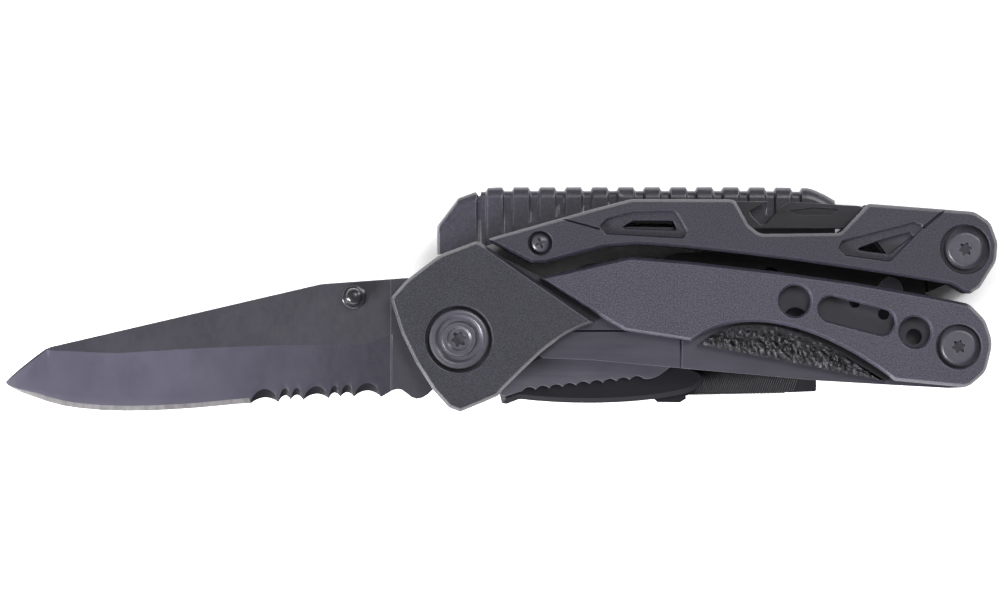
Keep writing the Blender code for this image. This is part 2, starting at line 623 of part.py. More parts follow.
def grip():
    """The ribbed grip along the upper handle's outer edge, with the tongue that the liners hold."""
    outline = rounded(
        [(-3.5, 16.9, 0.5), (2.0, 17.4, 1.0), (14.0, 22.6, 3.0), (30.0, 26.9, 4.0), (49.0, 27.1, 2.0), (54.0, 24.6, 2.0), (69.6, 24.6, 0.5), (69.6, 26.3, 0.4), (66.6, 28.9, 3.0), (63.6, TOP_Y, 0.8), (12.0, TOP_Y, 3.0), (0.2, 27.8, 1.5), (-3.8, 22.1, 1.0)],
        3,
    )
    body = plate("ribbed_grip", BAY, outline, finish="grip")
    tongue = rounded([(18.5, 20.6, 0.5), (28.0, 22.0, 1.0), (50.0, 22.0, 1.0), (56.5, 19.0, 1.5), (68.0, 19.0, 1.0), (68.0, 25.5, 0.5), (18.5, 24.5, 0.5)], 2)
    boolean(body, cutter("grip_tongue", (BAY[0] + 0.4, BAY[1] - 0.4), tongue), "UNION")
    for i in range(GROOVE_COUNT):
        x = GROOVE_FIRST_X + i * GROOVE_PITCH
        half = GROOVE_WIDTH / 2
        groove = [(x - half, TOP_Y - GROOVE_DEPTH), (x + half, TOP_Y - GROOVE_DEPTH), (x + half, TOP_Y + 2), (x - half, TOP_Y + 2)]
        boolean(body, cutter(f"grip_groove_{i}", (BAY[0] - 2, INNER_LINER[1] + 2), groove))


def opener():
    """Bottle opener with a driver tip, its notch and nail nick towards the grip."""
    shank = [(18.2, 16.7), (29.5, 23.5), (50.5, 23.6), (54.0, 21.5), (69.7, 21.5), (73.6, 25.6), (60.5, 26.5), (58.4, 24.9), (56.3, 22.9), (54.6, 24.4), (57.0, 26.5), (31.0, 26.6), (27.0, 25.0), (13.8, 21.9)]
    tang = arc(OPENER_PIVOT, 3.4, 118, 322, 14)
    plate("bottle_opener", KNIFE, tang + shank[1:-1], [circle(OPENER_PIVOT, OPENER_AXLE_R + SLIDE_GAP, 20)], "blade", at=OPENER_PIVOT)


def upper_fasteners():
    hinge_set("upper", UPPER_PIVOT, (BACK_WASHER[0], FRONT_WASHER[1]))
    top, bottom = FRONT_SCALE[1] - 0.2, BACK_SCALE[0] + 0.2
    r = OPENER_HEAD_R
    head = [(0, top), (r - 0.9, top - 0.15), (r - 0.2, top - 0.6), (r, top - 1.2), (OPENER_AXLE_R, top - 1.2), (OPENER_AXLE_R, 9.0), (0, 9.0)]
    screw = turned("opener_axle_screw", OPENER_PIVOT, head, "steel", 20)
    for turn in (0, 90):
        bar = turned_about(slot(OPENER_PIVOT, 1.9, 0.45, 0), OPENER_PIVOT, turn)
        boolean(screw, cutter(f"cross_{turn}", (top - 1.0, top + 1.0), bar))
    nut = [(0, 8.8), (OPENER_AXLE_R, 8.8), (OPENER_AXLE_R, bottom + 1.2), (r, bottom + 1.2), (r, bottom + 0.4), (r - 0.5, bottom), (0, bottom)]
    turned("opener_axle_nut", OPENER_PIVOT, nut, "steel", 20)


clear_scene()
PARTS = collection("multi_tool")
CUTTERS = collection("cutters")
SKETCH = bpy.data.objects.new("sketch", None)
PARTS.objects.link(SKETCH)
SKETCH.location = (-(TIP_X + END_X) / 2 * MM, -(LOW_Y + TOP_Y) / 2 * MM, 0.0)

handle_scales()
lower_liners()
lock_bar()
lower_fasteners()
knife()
lower_tools()
pliers()
upper_plates()
grip()
opener()
upper_fasteners()
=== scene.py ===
"""Looks of the folding multi tool: detailed plates, blade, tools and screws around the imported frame.

Everything is drawn in millimetres on the tool's own sketch, as in part.py: x runs from the knife's tip to the
pliers' hinges, y from the lower handle to the upper one, and z is the height above the table. The knife's
pivot ties the sketch to the frame.
"""

import json
import math

import bmesh
import bpy
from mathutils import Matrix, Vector, noise


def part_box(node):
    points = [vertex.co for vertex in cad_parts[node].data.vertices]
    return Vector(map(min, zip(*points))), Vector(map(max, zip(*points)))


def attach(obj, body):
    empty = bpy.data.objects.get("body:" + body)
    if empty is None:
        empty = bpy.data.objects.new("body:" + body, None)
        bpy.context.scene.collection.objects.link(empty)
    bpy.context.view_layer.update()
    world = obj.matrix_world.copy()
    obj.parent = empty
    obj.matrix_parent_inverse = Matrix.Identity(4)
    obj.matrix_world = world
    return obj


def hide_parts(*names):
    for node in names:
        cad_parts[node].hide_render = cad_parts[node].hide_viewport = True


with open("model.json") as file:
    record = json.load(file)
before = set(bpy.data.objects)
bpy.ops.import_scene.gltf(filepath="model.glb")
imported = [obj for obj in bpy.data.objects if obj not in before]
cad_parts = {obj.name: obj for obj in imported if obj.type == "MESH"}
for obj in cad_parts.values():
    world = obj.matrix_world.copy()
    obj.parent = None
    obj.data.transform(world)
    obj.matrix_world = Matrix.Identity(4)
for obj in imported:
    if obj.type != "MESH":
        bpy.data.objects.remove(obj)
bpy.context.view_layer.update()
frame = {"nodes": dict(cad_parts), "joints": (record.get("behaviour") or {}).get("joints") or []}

MM = 0.001
KNIFE_PIVOT = (0.4, 1.1)
OPENER_PIVOT = (15.4, 18.8)
LOWER_PIVOT = (92.7, -0.3)
UPPER_PIVOT = (93.9, 17.7)
LOCK_ROOT_X = 41.3
BOLT_R = 2.6
OPENER_AXLE_R = 1.5
CLEAR = 0.15
HEAD_SINK = 1.7
WINDOW_STEP = 1.1

knife_joint = next(j for j in frame["joints"] if j["name"] == "knife_fold")
SHIFT_X = KNIFE_PIVOT[0] - knife_joint["pos_m"][0] / MM
SHIFT_Y = KNIFE_PIVOT[1] - knife_joint["pos_m"][1] / MM


def to_frame(x, y, z):
    return ((x - SHIFT_X) * MM, (y - SHIFT_Y) * MM, z * MM)


def layer(node):
    """A node's lowest and highest level, in millimetres."""
    low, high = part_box(node)
    return low.z / MM, high.z / MM


# ---------------------------------------------------------------- outlines


def arc(centre, radius, start, end, steps):
    angles = [math.radians(start + (end - start) * i / steps) for i in range(steps + 1)]
    return [(centre[0] + radius * math.cos(a), centre[1] + radius * math.sin(a)) for a in angles]


def circle(centre, radius, steps=64):
    return arc(centre, radius, 0, 360, steps)[:-1]


def slot(centre, length, width, angle, steps=20):
    turn = math.radians(angle)
    half = (length - width) / 2
    right = (centre[0] + half * math.cos(turn), centre[1] + half * math.sin(turn))
    left = (centre[0] - half * math.cos(turn), centre[1] - half * math.sin(turn))
    nose = arc(right, width / 2, angle - 90, angle + 90, steps)
    return nose + arc(left, width / 2, angle + 90, angle + 270, steps)


def bezier(start, pull_a, pull_b, end, steps):
    found = []
    for i in range(steps + 1):
        t = i / steps
        weights = ((1 - t) ** 3, 3 * t * (1 - t) ** 2, 3 * t * t * (1 - t), t**3)
        pulls = list(zip(weights, (start, pull_a, pull_b, end)))
        found.append(tuple(sum(w * p[k] for w, p in pulls) for k in (0, 1)))
    return found


def rounded(corners, steps=10):
    """The outline through these corners, each with its own fillet radius, or 0 for a sharp one."""
    found = []
    for i, (x, y, radius) in enumerate(corners):
        here = Vector((x, y))
        before = Vector(corners[i - 1][:2]) - here
        after = Vector(corners[(i + 1) % len(corners)][:2]) - here
        half = before.angle(after) / 2
        if radius <= 0:
            found.append((x, y))
            continue
        reach = max(0.01, min(radius / math.tan(half), 0.48 * before.length, 0.48 * after.length))
        start, end = here + before.normalized() * reach, here + after.normalized() * reach
        for k in range(steps + 1):
            t = k / steps
            point = start * (1 - t) ** 2 + here * 2 * t * (1 - t) + end * t * t
            found.append((point.x, point.y))
    return found


def offset(loop, inset):
    """The counterclockwise loop drawn in by inset, or out where it is negative, with mitred corners."""
    count = len(loop)
    found = []
    for i in range(count):
        here = Vector(loop[i])
        back = (here - Vector(loop[i - 1])).normalized()
        on = (Vector(loop[(i + 1) % count]) - here).normalized()
        normal = Vector((-back.y - on.y, back.x + on.x))
        if normal.length < 1e-6:
            normal = Vector((-on.y, on.x))
        normal.normalize()
        spread = max(0.4, normal.dot(Vector((-on.y, on.x))))
        moved = here + normal * inset / spread
        found.append((moved.x, moved.y))
    return found


def shrink(corners, inset, steps=10):
    """The outline of rounded corners drawn in by inset: a convex fillet tightens and a concave one opens."""
    flat = [(x, y) for x, y, _ in corners]
    moved = offset(flat, inset) if inset else flat
    found = []
    for i, (x, y, radius) in enumerate(corners):
        before, after = flat[i - 1], flat[(i + 1) % len(flat)]
        turn = (x - before[0]) * (after[1] - y) - (y - before[1]) * (after[0] - x)
        if radius > 0:
            radius = max(0.02, radius - inset if turn > 0 else radius + inset)
        found.append((*moved[i], radius))
    return rounded(found, steps)


def anticlockwise(loop):
    doubled_area = sum(a[0] * b[1] - b[0] * a[1] for a, b in zip(loop, loop[1:] + loop[:1]))
    return loop if doubled_area > 0 else loop[::-1]


# ---------------------------------------------------------------- solids


def shade(mesh, angle=32):
    """Smooth over gentle bends; level faces stay flat up to their rims."""
    mesh.shade_smooth()
    mesh.set_sharp_from_angle(angle=math.radians(angle))
    for face in mesh.polygons:
        if abs(face.normal.z) > 0.9999:
            face.use_smooth = False


def mesh_from(shape, name):
    bmesh.ops.recalc_face_normals(shape, faces=shape.faces)
    mesh = bpy.data.meshes.new(name)
    shape.to_mesh(mesh)
    shape.free()
    return mesh


def join(shape, first, second):
    """The strip of faces between two rings of vertices."""
    for i in range(len(first)):
        k = (i + 1) % len(first)
        shape.faces.new((first[i], second[i], second[k], first[k]))


def close(shape, first, second):
    """A solid between two rings."""
    join(shape, first, second)
    shape.faces.new(first)
    shape.faces.new(second[::-1])


def make(name, mesh, body, nodes, finish, angle=32):
    """A finished piece: smooth shaded, riding its body, standing for its CAD nodes."""
    obj = bpy.data.objects.new(name, mesh)
    bpy.context.scene.collection.objects.link(obj)
    mesh.materials.append(finish)
    shade(mesh, angle)
    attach(obj, body)
    if nodes:
        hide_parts(*nodes)
    return obj


def edge_round(width, drop=None):
    """A rim that rolls over from the wall to the face."""
    drop = width if drop is None else drop
    angles = [math.pi / 2 * k / 4 for k in range(5)]
    return [(width * (1 - math.cos(a)), drop * (1 - math.sin(a))) for a in angles]


def chamfer(width, drop=None, soften=0.08):
    """A flat bevel with slightly softened ends, as (inset, drop) from the wall to the face."""
    drop = width if drop is None else drop
    return [(0.0, drop + soften), (soften * 0.3, drop), (width, soften * 0.3), (width + soften, 0.0)]


class Plate:
    """A flat plate built up ring by ring, facing up, or down where flip is set."""

    def __init__(self, low, high, flip=False):
        self.low, self.high, self.flip = low, high, flip
        self.mesh = bmesh.new()
        self.top_loops, self.bottom_loops = [], []

    def height(self, z):
        return self.low + self.high - z if self.flip else z

    def ring(self, loop, z):
        return [self.mesh.verts.new(to_frame(x, y, self.height(z))) for x, y in loop]

    def strip(self, loop, rim, sign, bottom_rim=None):
        """The wall of one loop from the top rim to the bottom one."""
        draw = shrink if len(loop[0]) == 3 else offset
        rings = []
        for inset, drop in reversed(rim):
            ring_loop = draw(loop, sign * inset)
            rings.append((ring_loop, self.ring(ring_loop, self.high - drop)))
        for inset, drop in bottom_rim or [(0.0, 0.0)]:
            ring_loop = draw(loop, sign * inset)
            rings.append((ring_loop, self.ring(ring_loop, self.low + drop)))
        for above, below in zip(rings, rings[1:]):
            join(self.mesh, above[1], below[1])
        return rings[0], rings[-1]

    def outer(self, loop, rim, bottom_rim=None):
        top, bottom = self.strip(loop, rim, 1, bottom_rim)
        self.top_loops.insert(0, top)
        self.bottom_loops.insert(0, bottom)

    def hole(self, loop, rim):
        top, bottom = self.strip(loop, rim, -1)
        self.top_loops.append(top)
        self.bottom_loops.append(bottom)

    def shaft(self, loop, rim, top, bottom):
        """A hole's wall, from a rim at level top straight down to level bottom."""
        rings = []
        for inset, drop in reversed(rim):
            ring_loop = offset(loop, -inset) if inset else loop
            rings.append((ring_loop, self.ring(ring_loop, top - drop)))
        rings.append((loop, self.ring(loop, bottom)))
        for above, below in zip(rings, rings[1:]):
            join(self.mesh, above[1], below[1])
        return rings[0], rings[-1]

    def stepped_hole(self, outer_loop, depth, inner_loop, rim, inner_rim=((0.0, 0.0),)):
        """A recess with a smaller through hole in its floor."""
        floor_level = self.high - depth
        top, ledge = self.shaft(outer_loop, rim, self.high, floor_level)
        inner_top, bottom = self.shaft(inner_loop, inner_rim, floor_level, self.low)
        self.cap([ledge, inner_top])
        self.top_loops.append(top)
        self.bottom_loops.append(bottom)

    def cap(self, loops):
        edges = []
        for _, ring in loops:
            for i, vert in enumerate(ring):
                pair = (vert, ring[(i + 1) % len(ring)])
                edges.append(self.mesh.edges.get(pair) or self.mesh.edges.new(pair))
        bmesh.ops.triangle_fill(self.mesh, use_beauty=True, use_dissolve=False, edges=edges, normal=(0, 0, 1))

    def done(self, name):
        self.cap(self.top_loops)
        self.cap(self.bottom_loops)
        return mesh_from(self.mesh, name)


def plate(name, body, nodes, finish, levels, outline, rim, holes=(), flip=False, under=None):
    made = Plate(levels[0], levels[1], flip)
    made.outer(outline, rim, under)
    for spec in holes:
        if len(spec) == 2:
            made.hole(*spec)
        else:
            made.stepped_hole(*spec)
    return make(name, made.done(name), body, nodes, finish)


def lathe(
    name, body, nodes, finish, centre, profile, steps=72, recess=None, lobes=6, recess_r=1.5
):
    """A turned piece from (radius, height) pairs, down its outside, with a lobed recess if one is given."""
    shape = bmesh.new()
    rings = []
    for radius, z in profile:
        if radius == 0:
            rings.append([shape.verts.new(to_frame(centre[0], centre[1], z))])
        else:
            rings.append([shape.verts.new(to_frame(x, y, z)) for x, y in circle(centre, radius, steps)])
    for above, below in zip(rings, rings[1:]):
        for i in range(steps):
            k = (i + 1) % steps
            corners = [(above, i), (below, i), (below, k), (above, k)]
            unique = list(dict.fromkeys(ring[at % len(ring)] for ring, at in corners))
            if len(unique) > 2:
                shape.faces.new(unique)
    obj = make(name, mesh_from(shape, name), body, nodes, finish)
    if recess:
        top, depth = recess
        if lobes == 4:
            bars = [slot(centre, 2.2, 0.5, 20, 6), slot(centre, 2.2, 0.5, 110, 6)]
        else:
            bars = [star(centre, recess_r, lobes)]
        for i, loop in enumerate(bars):
            cut(obj, f"{name}_recess_{i}", loop, min(top, top - depth), max(top, top - depth), depth > 0)
    return obj


def star(centre, radius, lobes):
    points = []
    for i in range(72):
        a = 2 * math.pi * i / 72
        r = radius * (0.84 + 0.16 * math.cos(lobes * a))
        points.append((centre[0] + r * math.cos(a + 0.2), centre[1] + r * math.sin(a + 0.2)))
    return points


def cut(obj, name, loop, low, high, opens_up=True):
    """Cuts a prism out of the piece and applies the cut."""
    reach = 1.0
    tool = Plate(low - (0 if opens_up else reach), high + (reach if opens_up else 0))
    tool.outer(loop, [(0.0, 0.0)])
    other = bpy.data.objects.new(name, tool.done(name))
    bpy.context.scene.collection.objects.link(other)
    apply_boolean(obj, other)


def apply_boolean(obj, other):
    step = obj.modifiers.new("cut", "BOOLEAN")
    step.operation = "DIFFERENCE"
    step.solver = "EXACT"
    step.object = other
    bpy.context.view_layer.update()
    mesh = bpy.data.meshes.new_from_object(obj.evaluated_get(bpy.context.evaluated_depsgraph_get()))
    obj.modifiers.clear()
    old = obj.data
    obj.data = mesh
    mesh.name = old.name + "_cut"
    bpy.data.meshes.remove(old)
    bpy.data.objects.remove(other)
    shade(mesh)


def wedge_groove(obj, name, start, end, width, depth, top, up=True):
    """Cuts a V groove from start to end into the piece's face at level top."""
    way = (Vector(end) - Vector(start)).normalized()
    side = Vector((-way.y, way.x)) * (width / 2)
    sign = 1 if up else -1
    over = 1.6  # the wedge goes on above the face at the same slope
    shape = bmesh.new()
    rings = []
    for point in (Vector(start), Vector(end)):
        corners = ((point + side * over, 0.6 * depth), (point, -depth), (point - side * over, 0.6 * depth))
        rings.append([shape.verts.new(to_frame(*p, top + sign * rise)) for p, rise in corners])
    close(shape, *rings)
    other = bpy.data.objects.new(name, mesh_from(shape, name))
    bpy.context.scene.collection.objects.link(other)
    apply_boolean(obj, other)


# ---------------------------------------------------------------- materials


class Nodes:
    """Short calls for building one material's nodes."""

    def __init__(self, name):
        self.material = bpy.data.materials.new(name)
        self.material.use_nodes = True
        self.tree = self.material.node_tree
        self.shader = self.tree.nodes["Principled BSDF"]
        self.place = self.add("ShaderNodeTexCoord").outputs["Object"]

    def add(self, kind, links=(), **values):
        node = self.tree.nodes.new(kind)
        for key, value in values.items():
            if hasattr(node, key):
                setattr(node, key, value)
            else:
                node.inputs[key].default_value = value
        for key, source in dict(links).items():
            self.tree.links.new(source, node.inputs[key])
        return node

    def noise(self, per_mm, detail=3.0, roughness=0.55, stretch=None, turn=0.0):
        source = self.place
        if stretch:
            shaped = self.add("ShaderNodeMapping", {"Vector": source}, Scale=stretch, Rotation=(0, 0, turn))
            source = shaped.outputs["Vector"]
        values = {"Scale": per_mm / MM, "Detail": detail, "Roughness": roughness}
        return self.add("ShaderNodeTexNoise", {"Vector": source}, **values).outputs["Fac"]

    def ramp(self, source, low, high, start=0.3, end=0.7):
        values = {"From Min": start, "From Max": end, "To Min": low, "To Max": high}
        return self.add("ShaderNodeMapRange", {"Value": source}, **values).outputs["Result"]

    def math(self, operation, a, b):
        made = self.add("ShaderNodeMath", operation=operation)
        for i, value in enumerate((a, b)):
            if isinstance(value, (int, float)):
                made.inputs[i].default_value = value
            else:
                self.tree.links.new(value, made.inputs[i])
        return made.outputs["Value"]

    def shade(self, colour, amount):
        """The colour made lighter or darker by a factor that varies over the surface."""
        made = self.add("ShaderNodeVectorMath", operation="SCALE")
        made.inputs[0].default_value = colour
        self.tree.links.new(amount, made.inputs["Scale"])
        return made.outputs["Vector"]

    def mix(self, amount, a, b):
        made = self.add("ShaderNodeMix", data_type="RGBA")
        self.tree.links.new(amount, made.inputs["Factor"])
        for key, value in (("A", a), ("B", b)):
            socket = next(s for s in made.inputs if s.name == key and s.type == "RGBA")
            if isinstance(value, tuple):
                socket.default_value = (*value, 1.0)
            else:
                self.tree.links.new(value, socket)
        return next(s for s in made.outputs if s.type == "RGBA")

    def wear_and_highlight_edges(self, radius_mm, start, end):
        """1 on sharp convex edges and 0 on flats: the mask for rubbed edges, also used as a painted highlight
        along rims and chamfers.
        """
        soft = self.add("ShaderNodeBevel", samples=4)
        soft.inputs["Radius"].default_value = radius_mm * MM
        true = self.add("ShaderNodeNewGeometry")
        dot = self.add("ShaderNodeVectorMath", operation="DOT_PRODUCT")
        self.tree.links.new(soft.outputs["Normal"], dot.inputs[0])
        self.tree.links.new(true.outputs["Normal"], dot.inputs[1])
        patchy = self.ramp(self.noise(0.9, 4.0), 0.5, 1.1)
        edge = self.ramp(dot.outputs["Value"], 1.0, 0.0, start, end)
        return self.math("MULTIPLY", edge, patchy)

    def bump(self, sources):
        """Bump from (height, depth in millimetres) pairs, stacked."""
        before = None
        for height, depth in sources:
            made = self.add("ShaderNodeBump", {"Height": height}, Strength=1.0, Distance=depth * MM)
            if before:
                self.tree.links.new(before, made.inputs["Normal"])
            before = made.outputs["Normal"]
        self.tree.links.new(before, self.shader.inputs["Normal"])

    def finish(self, colour, roughness, metallic=0.0, specular=0.5):
        self.tree.links.new(colour, self.shader.inputs["Base Color"])
        self.tree.links.new(roughness, self.shader.inputs["Roughness"])
        self.shader.inputs["Metallic"].default_value = metallic
        self.shader.inputs["Specular IOR Level"].default_value = specular
        return self.material


def coated(name, colour, wear_and_highlight, roughness=0.5, grain_per_mm=4.2, grain_depth=0.07, speckle=0.9):
    """Textured paint on metal: fine grain in colour and relief, slow tone changes, and edges painted lighter,
    partly as rubbed paint and partly as painted highlight.
    """
    n = Nodes(name)
    grain = n.noise(grain_per_mm, 3.0, 0.6)
    tone = n.noise(0.09, 3.0)
    factor = n.math("MULTIPLY", n.ramp(grain, 1 - speckle, 1 + speckle), n.ramp(tone, 0.95, 1.06))
    base = n.shade(colour, factor)
    # the lighter colour on convex edges is rubbed paint and painted highlight both
    light = tuple(min(1.0, c * 3.0 + 0.04) for c in colour)
    base = n.mix(n.math("MULTIPLY", n.wear_and_highlight_edges(0.2, 0.93, 0.995), wear_and_highlight), base, light)
    rough = n.math("ADD", n.ramp(grain, -0.06, 0.06), n.ramp(tone, roughness - 0.03, roughness + 0.03))
    n.bump([(tone, 0.01), (grain, grain_depth)])
    n.shader.inputs["Coat Weight"].default_value = 0.5
    n.shader.inputs["Coat Roughness"].default_value = 0.22
    return n.finish(base, rough, 0.0, 0.35)


def satin(name, colour, roughness, stretch, wear_and_highlight, turn=0.0, metallic=0.0, lines=0.12, fade=None):
    """Dark satin steel with fine grinding lines and faint smears, edges painted lighter as wear and as
    painted highlight, and, where fade is given, a painted reflection that dims along x.
    """
    n = Nodes(name)
    brushed = n.noise(0.9, 4.0, 0.7, stretch, turn)
    smear = n.noise(0.12, 4.0)
    grit = n.noise(7.0, 2.0)
    factor = n.math("MULTIPLY", n.ramp(brushed, 1 - lines, 1 + lines), n.ramp(smear, 0.94, 1.07))
    factor = n.math("MULTIPLY", factor, n.ramp(grit, 0.96, 1.04))
    if fade:
        # painted reflection: the surface dims from the point towards the handle
        along_x = n.add("ShaderNodeSeparateXYZ", {"Vector": n.place}).outputs["X"]
        factor = n.math("MULTIPLY", factor, n.ramp(along_x, 0.42, 1.0, fade[0], fade[1]))
    base = n.shade(colour, factor)
    # the lighter colour on convex edges is worn steel and painted highlight both
    light = tuple(min(1.0, c * 3.0 + 0.06) for c in colour)
    base = n.mix(n.math("MULTIPLY", n.wear_and_highlight_edges(0.1, 0.88, 0.99), wear_and_highlight), base, light)
    rough = n.math("ADD", n.ramp(brushed, -0.05, 0.05), n.ramp(smear, roughness - 0.04, roughness + 0.05))
    n.bump([(brushed, 0.004), (grit, 0.003)])
    return n.finish(base, rough, metallic)


def rock():
    """The inlay's rough aggregate: dark hollows and paler chipped grains."""
    n = Nodes("rough_inlay")
    lumps = n.noise(1.5, 5.0, 0.7)
    chips = n.add("ShaderNodeTexVoronoi", {"Vector": n.place})
    chips.inputs["Scale"].default_value = 1.6 / MM
    fine = n.noise(6.0, 3.0, 0.6)
    factor = n.math("MULTIPLY", n.ramp(lumps, 0.35, 1.7, 0.35, 0.65), n.ramp(fine, 0.75, 1.3))
    base = n.shade((0.007, 0.0068, 0.009), factor)
    chipped = n.ramp(chips.outputs["Color"], 0.0, 1.0, 0.72, 0.8)
    pale = n.math("MULTIPLY", chipped, n.ramp(lumps, 0.0, 0.7, 0.5, 0.65))
    base = n.mix(pale, base, (0.17, 0.16, 0.19))
    n.bump([(lumps, 0.10), (fine, 0.04)])
    return n.finish(base, n.ramp(fine, 0.25, 0.55), 0.0, 0.3)


SCALE = coated("scale_coat", (0.032, 0.030, 0.045), wear_and_highlight=0.35)
UPPER_SCALE = coated("upper_coat", (0.017, 0.016, 0.026), wear_and_highlight=0.35)
BOLSTER = coated("bolster_coat", (0.014, 0.0135, 0.021), wear_and_highlight=0.5, grain_per_mm=4.0, speckle=1.0)
GRIP = coated(
    "grip_moulding", (0.025, 0.0235, 0.035), wear_and_highlight=0.8, roughness=0.45, grain_per_mm=1.8, grain_depth=0.04,
    speckle=0.3,
)
# noise scale along each axis, for grinding lines that run that way
LENGTHWISE = (0.08, 1.0, 1.0)
CROSSWISE = (1.0, 0.1, 1.0)
EVEN = (1.0, 1.0, 1.0)
BLADE = satin(
    "blade_satin", (0.024, 0.0225, 0.031), roughness=0.4, stretch=(1.0, 0.6, 1.0), wear_and_highlight=0.4, lines=0.03,
)
# the grind's finish is paler than the flat and fades towards the handle: painted reflection of the light its
# tilted face catches
GRIND_PAINTED_SHEEN = satin(
    "blade_ground", (0.052, 0.048, 0.072), roughness=0.4, stretch=(1.0, 0.6, 1.0), wear_and_highlight=0.2, lines=0.03,
    fade=(-0.026, -0.060),
)
EDGE = satin(
    "edge_ground", (0.13, 0.125, 0.13), roughness=0.4, stretch=CROSSWISE, turn=0.5, wear_and_highlight=0.2,
    lines=0.3,
)
LINER = satin(
    "liner_satin", (0.026, 0.024, 0.036), roughness=0.42, stretch=LENGTHWISE, wear_and_highlight=0.5, lines=0.10,
)
TOOL = satin(
    "tool_satin", (0.045, 0.042, 0.057), roughness=0.42, stretch=LENGTHWISE, turn=0.1, wear_and_highlight=0.8,
)
DARK_TOOL = satin(
    "dark_tool", (0.005, 0.0045, 0.0075), roughness=0.5, stretch=LENGTHWISE, turn=0.1, wear_and_highlight=0.15,
)
OPENER = satin(
    "opener_steel", (0.009, 0.0085, 0.013), roughness=0.34, stretch=LENGTHWISE, turn=0.1, wear_and_highlight=1.0,
    lines=0.1,
)
FILE_STEEL = satin(
    "file_steel", (0.005, 0.0047, 0.0075), roughness=0.5, stretch=CROSSWISE, turn=0.3, wear_and_highlight=0.25,
    lines=0.25,
)
STEEL = satin(
    "fastener_steel", (0.055, 0.052, 0.066), roughness=0.32, stretch=EVEN, metallic=0.2,
    wear_and_highlight=1.0, lines=0.08,
)
STUD = satin(
    "stud_steel", (0.012, 0.011, 0.015), roughness=0.2, stretch=EVEN, wear_and_highlight=0.6, lines=0.08,
)
DARK_STEEL = satin(
    "plier_steel", (0.003, 0.003, 0.0035), roughness=0.6, stretch=(0.2, 1.0, 1.0), turn=0.2, wear_and_highlight=0.3,
)
BRONZE = satin(
    "washer_bronze", (0.45, 0.29, 0.13), roughness=0.35, stretch=EVEN, metallic=1.0, wear_and_highlight=0.2,
)
DARK_TOOL.node_tree.nodes["Principled BSDF"].inputs["Specular IOR Level"].default_value = 0.2
INLAY = rock()

# ---------------------------------------------------------------- handles' outlines

LOWER_END = [(94.4, -7.9, 3.2), (97.7, -5.0, 4.0), (99.0, 0.4, 6.0), (97.6, 4.6, 4.5), (94.6, 7.6, 3.0)]
LOWER_INNER = [
    (87.8, 9.0, 0), (73.6, 11.5, 0), (59.5, 13.5, 0), (42.9, 15.4, 0), (32.0, 16.3, 6.0),
    (26.3, 15.0, 6.0),
]
BOLSTER_NOSE = [(3.6, 19.2, 1.3), (-3.3, 16.6, 9.0), (-9.3, 12.0, 9.0), (-12.3, 8.6, 0.9), (-10.3, 2.2, 9.0)]
BOLSTER_FOOT = [
    (-7.5, -3.5, 9.0), (-4.4, -8.3, 0), (-1.5, -11.5, 1.0), (0.6, -12.35, 0.9), (4.6, -10.7, 2.0),
    (7.6, -9.4, 1.0), (8.4, -8.3, 1.0),
]
BOLSTER_UNDER = [(12.2, -4.6, 20.0), (15.9, -1.1, 20.0), (19.8, 1.75, 8.0), (23.6, 3.55, 4.0)]


def scale_holes():
    rim = chamfer(0.42, 0.5)
    return [
        (circle((62.5, 8.15), 2.85), rim),
        (slot((73.9, 5.45), 14.2, 4.6, -14.5), rim),
        (circle((84.7, 2.4), 2.8), rim),
        (circle(LOWER_PIVOT, 4.1), HEAD_SINK, circle(LOWER_PIVOT, BOLT_R + CLEAR), chamfer(0.2, 0.25)),
    ]


def crescent(inset):
    """The inlay's upper arc, from the hinge end to the knife end."""
    start, end = (43.3 + 3 * inset, 0.75), (80.9 - 4 * inset, -6.6)
    return bezier(start, (51.3, 6.4 - inset), (64.0, 6.0 - inset), end, 48)[::-1]


def lower_scale_loop():
    upper = [(15.0, 12.4, 0.4)]
    left = [(28.4, 4.1, 0.5), (31.1, 2.6, 1.0)]
    inlay_edge = [(x, y, 0) for x, y in crescent(0.0)[::-1]]
    return LOWER_END + LOWER_INNER + upper + left + inlay_edge


# ---------------------------------------------------------------- both sides' outer plates

INLAY_FOOT = ((44.6, 0.15), (79.4, -6.75))
INLAY_COLUMNS, INLAY_ROWS = 220, 26


def inlay_height(p, s, t):
    """The rough surface's height over its rim at point p, s up and t along the crescent."""
    rough = noise.fractal(Vector((p.x * 1.1, p.y * 1.1, 3.0)), 0.9, 2.1, 4)
    crag = noise.cell(Vector((p.x * 1.7, p.y * 1.7, 0.0)))
    edge = min(1.0, 4 * s, 4 * (1 - s), 12 * t, 12 * (1 - t))
    return min(0.35, -0.1 - 0.5 * (1 - edge) + edge * (0.34 * rough + 0.22 * (crag - 0.5)))


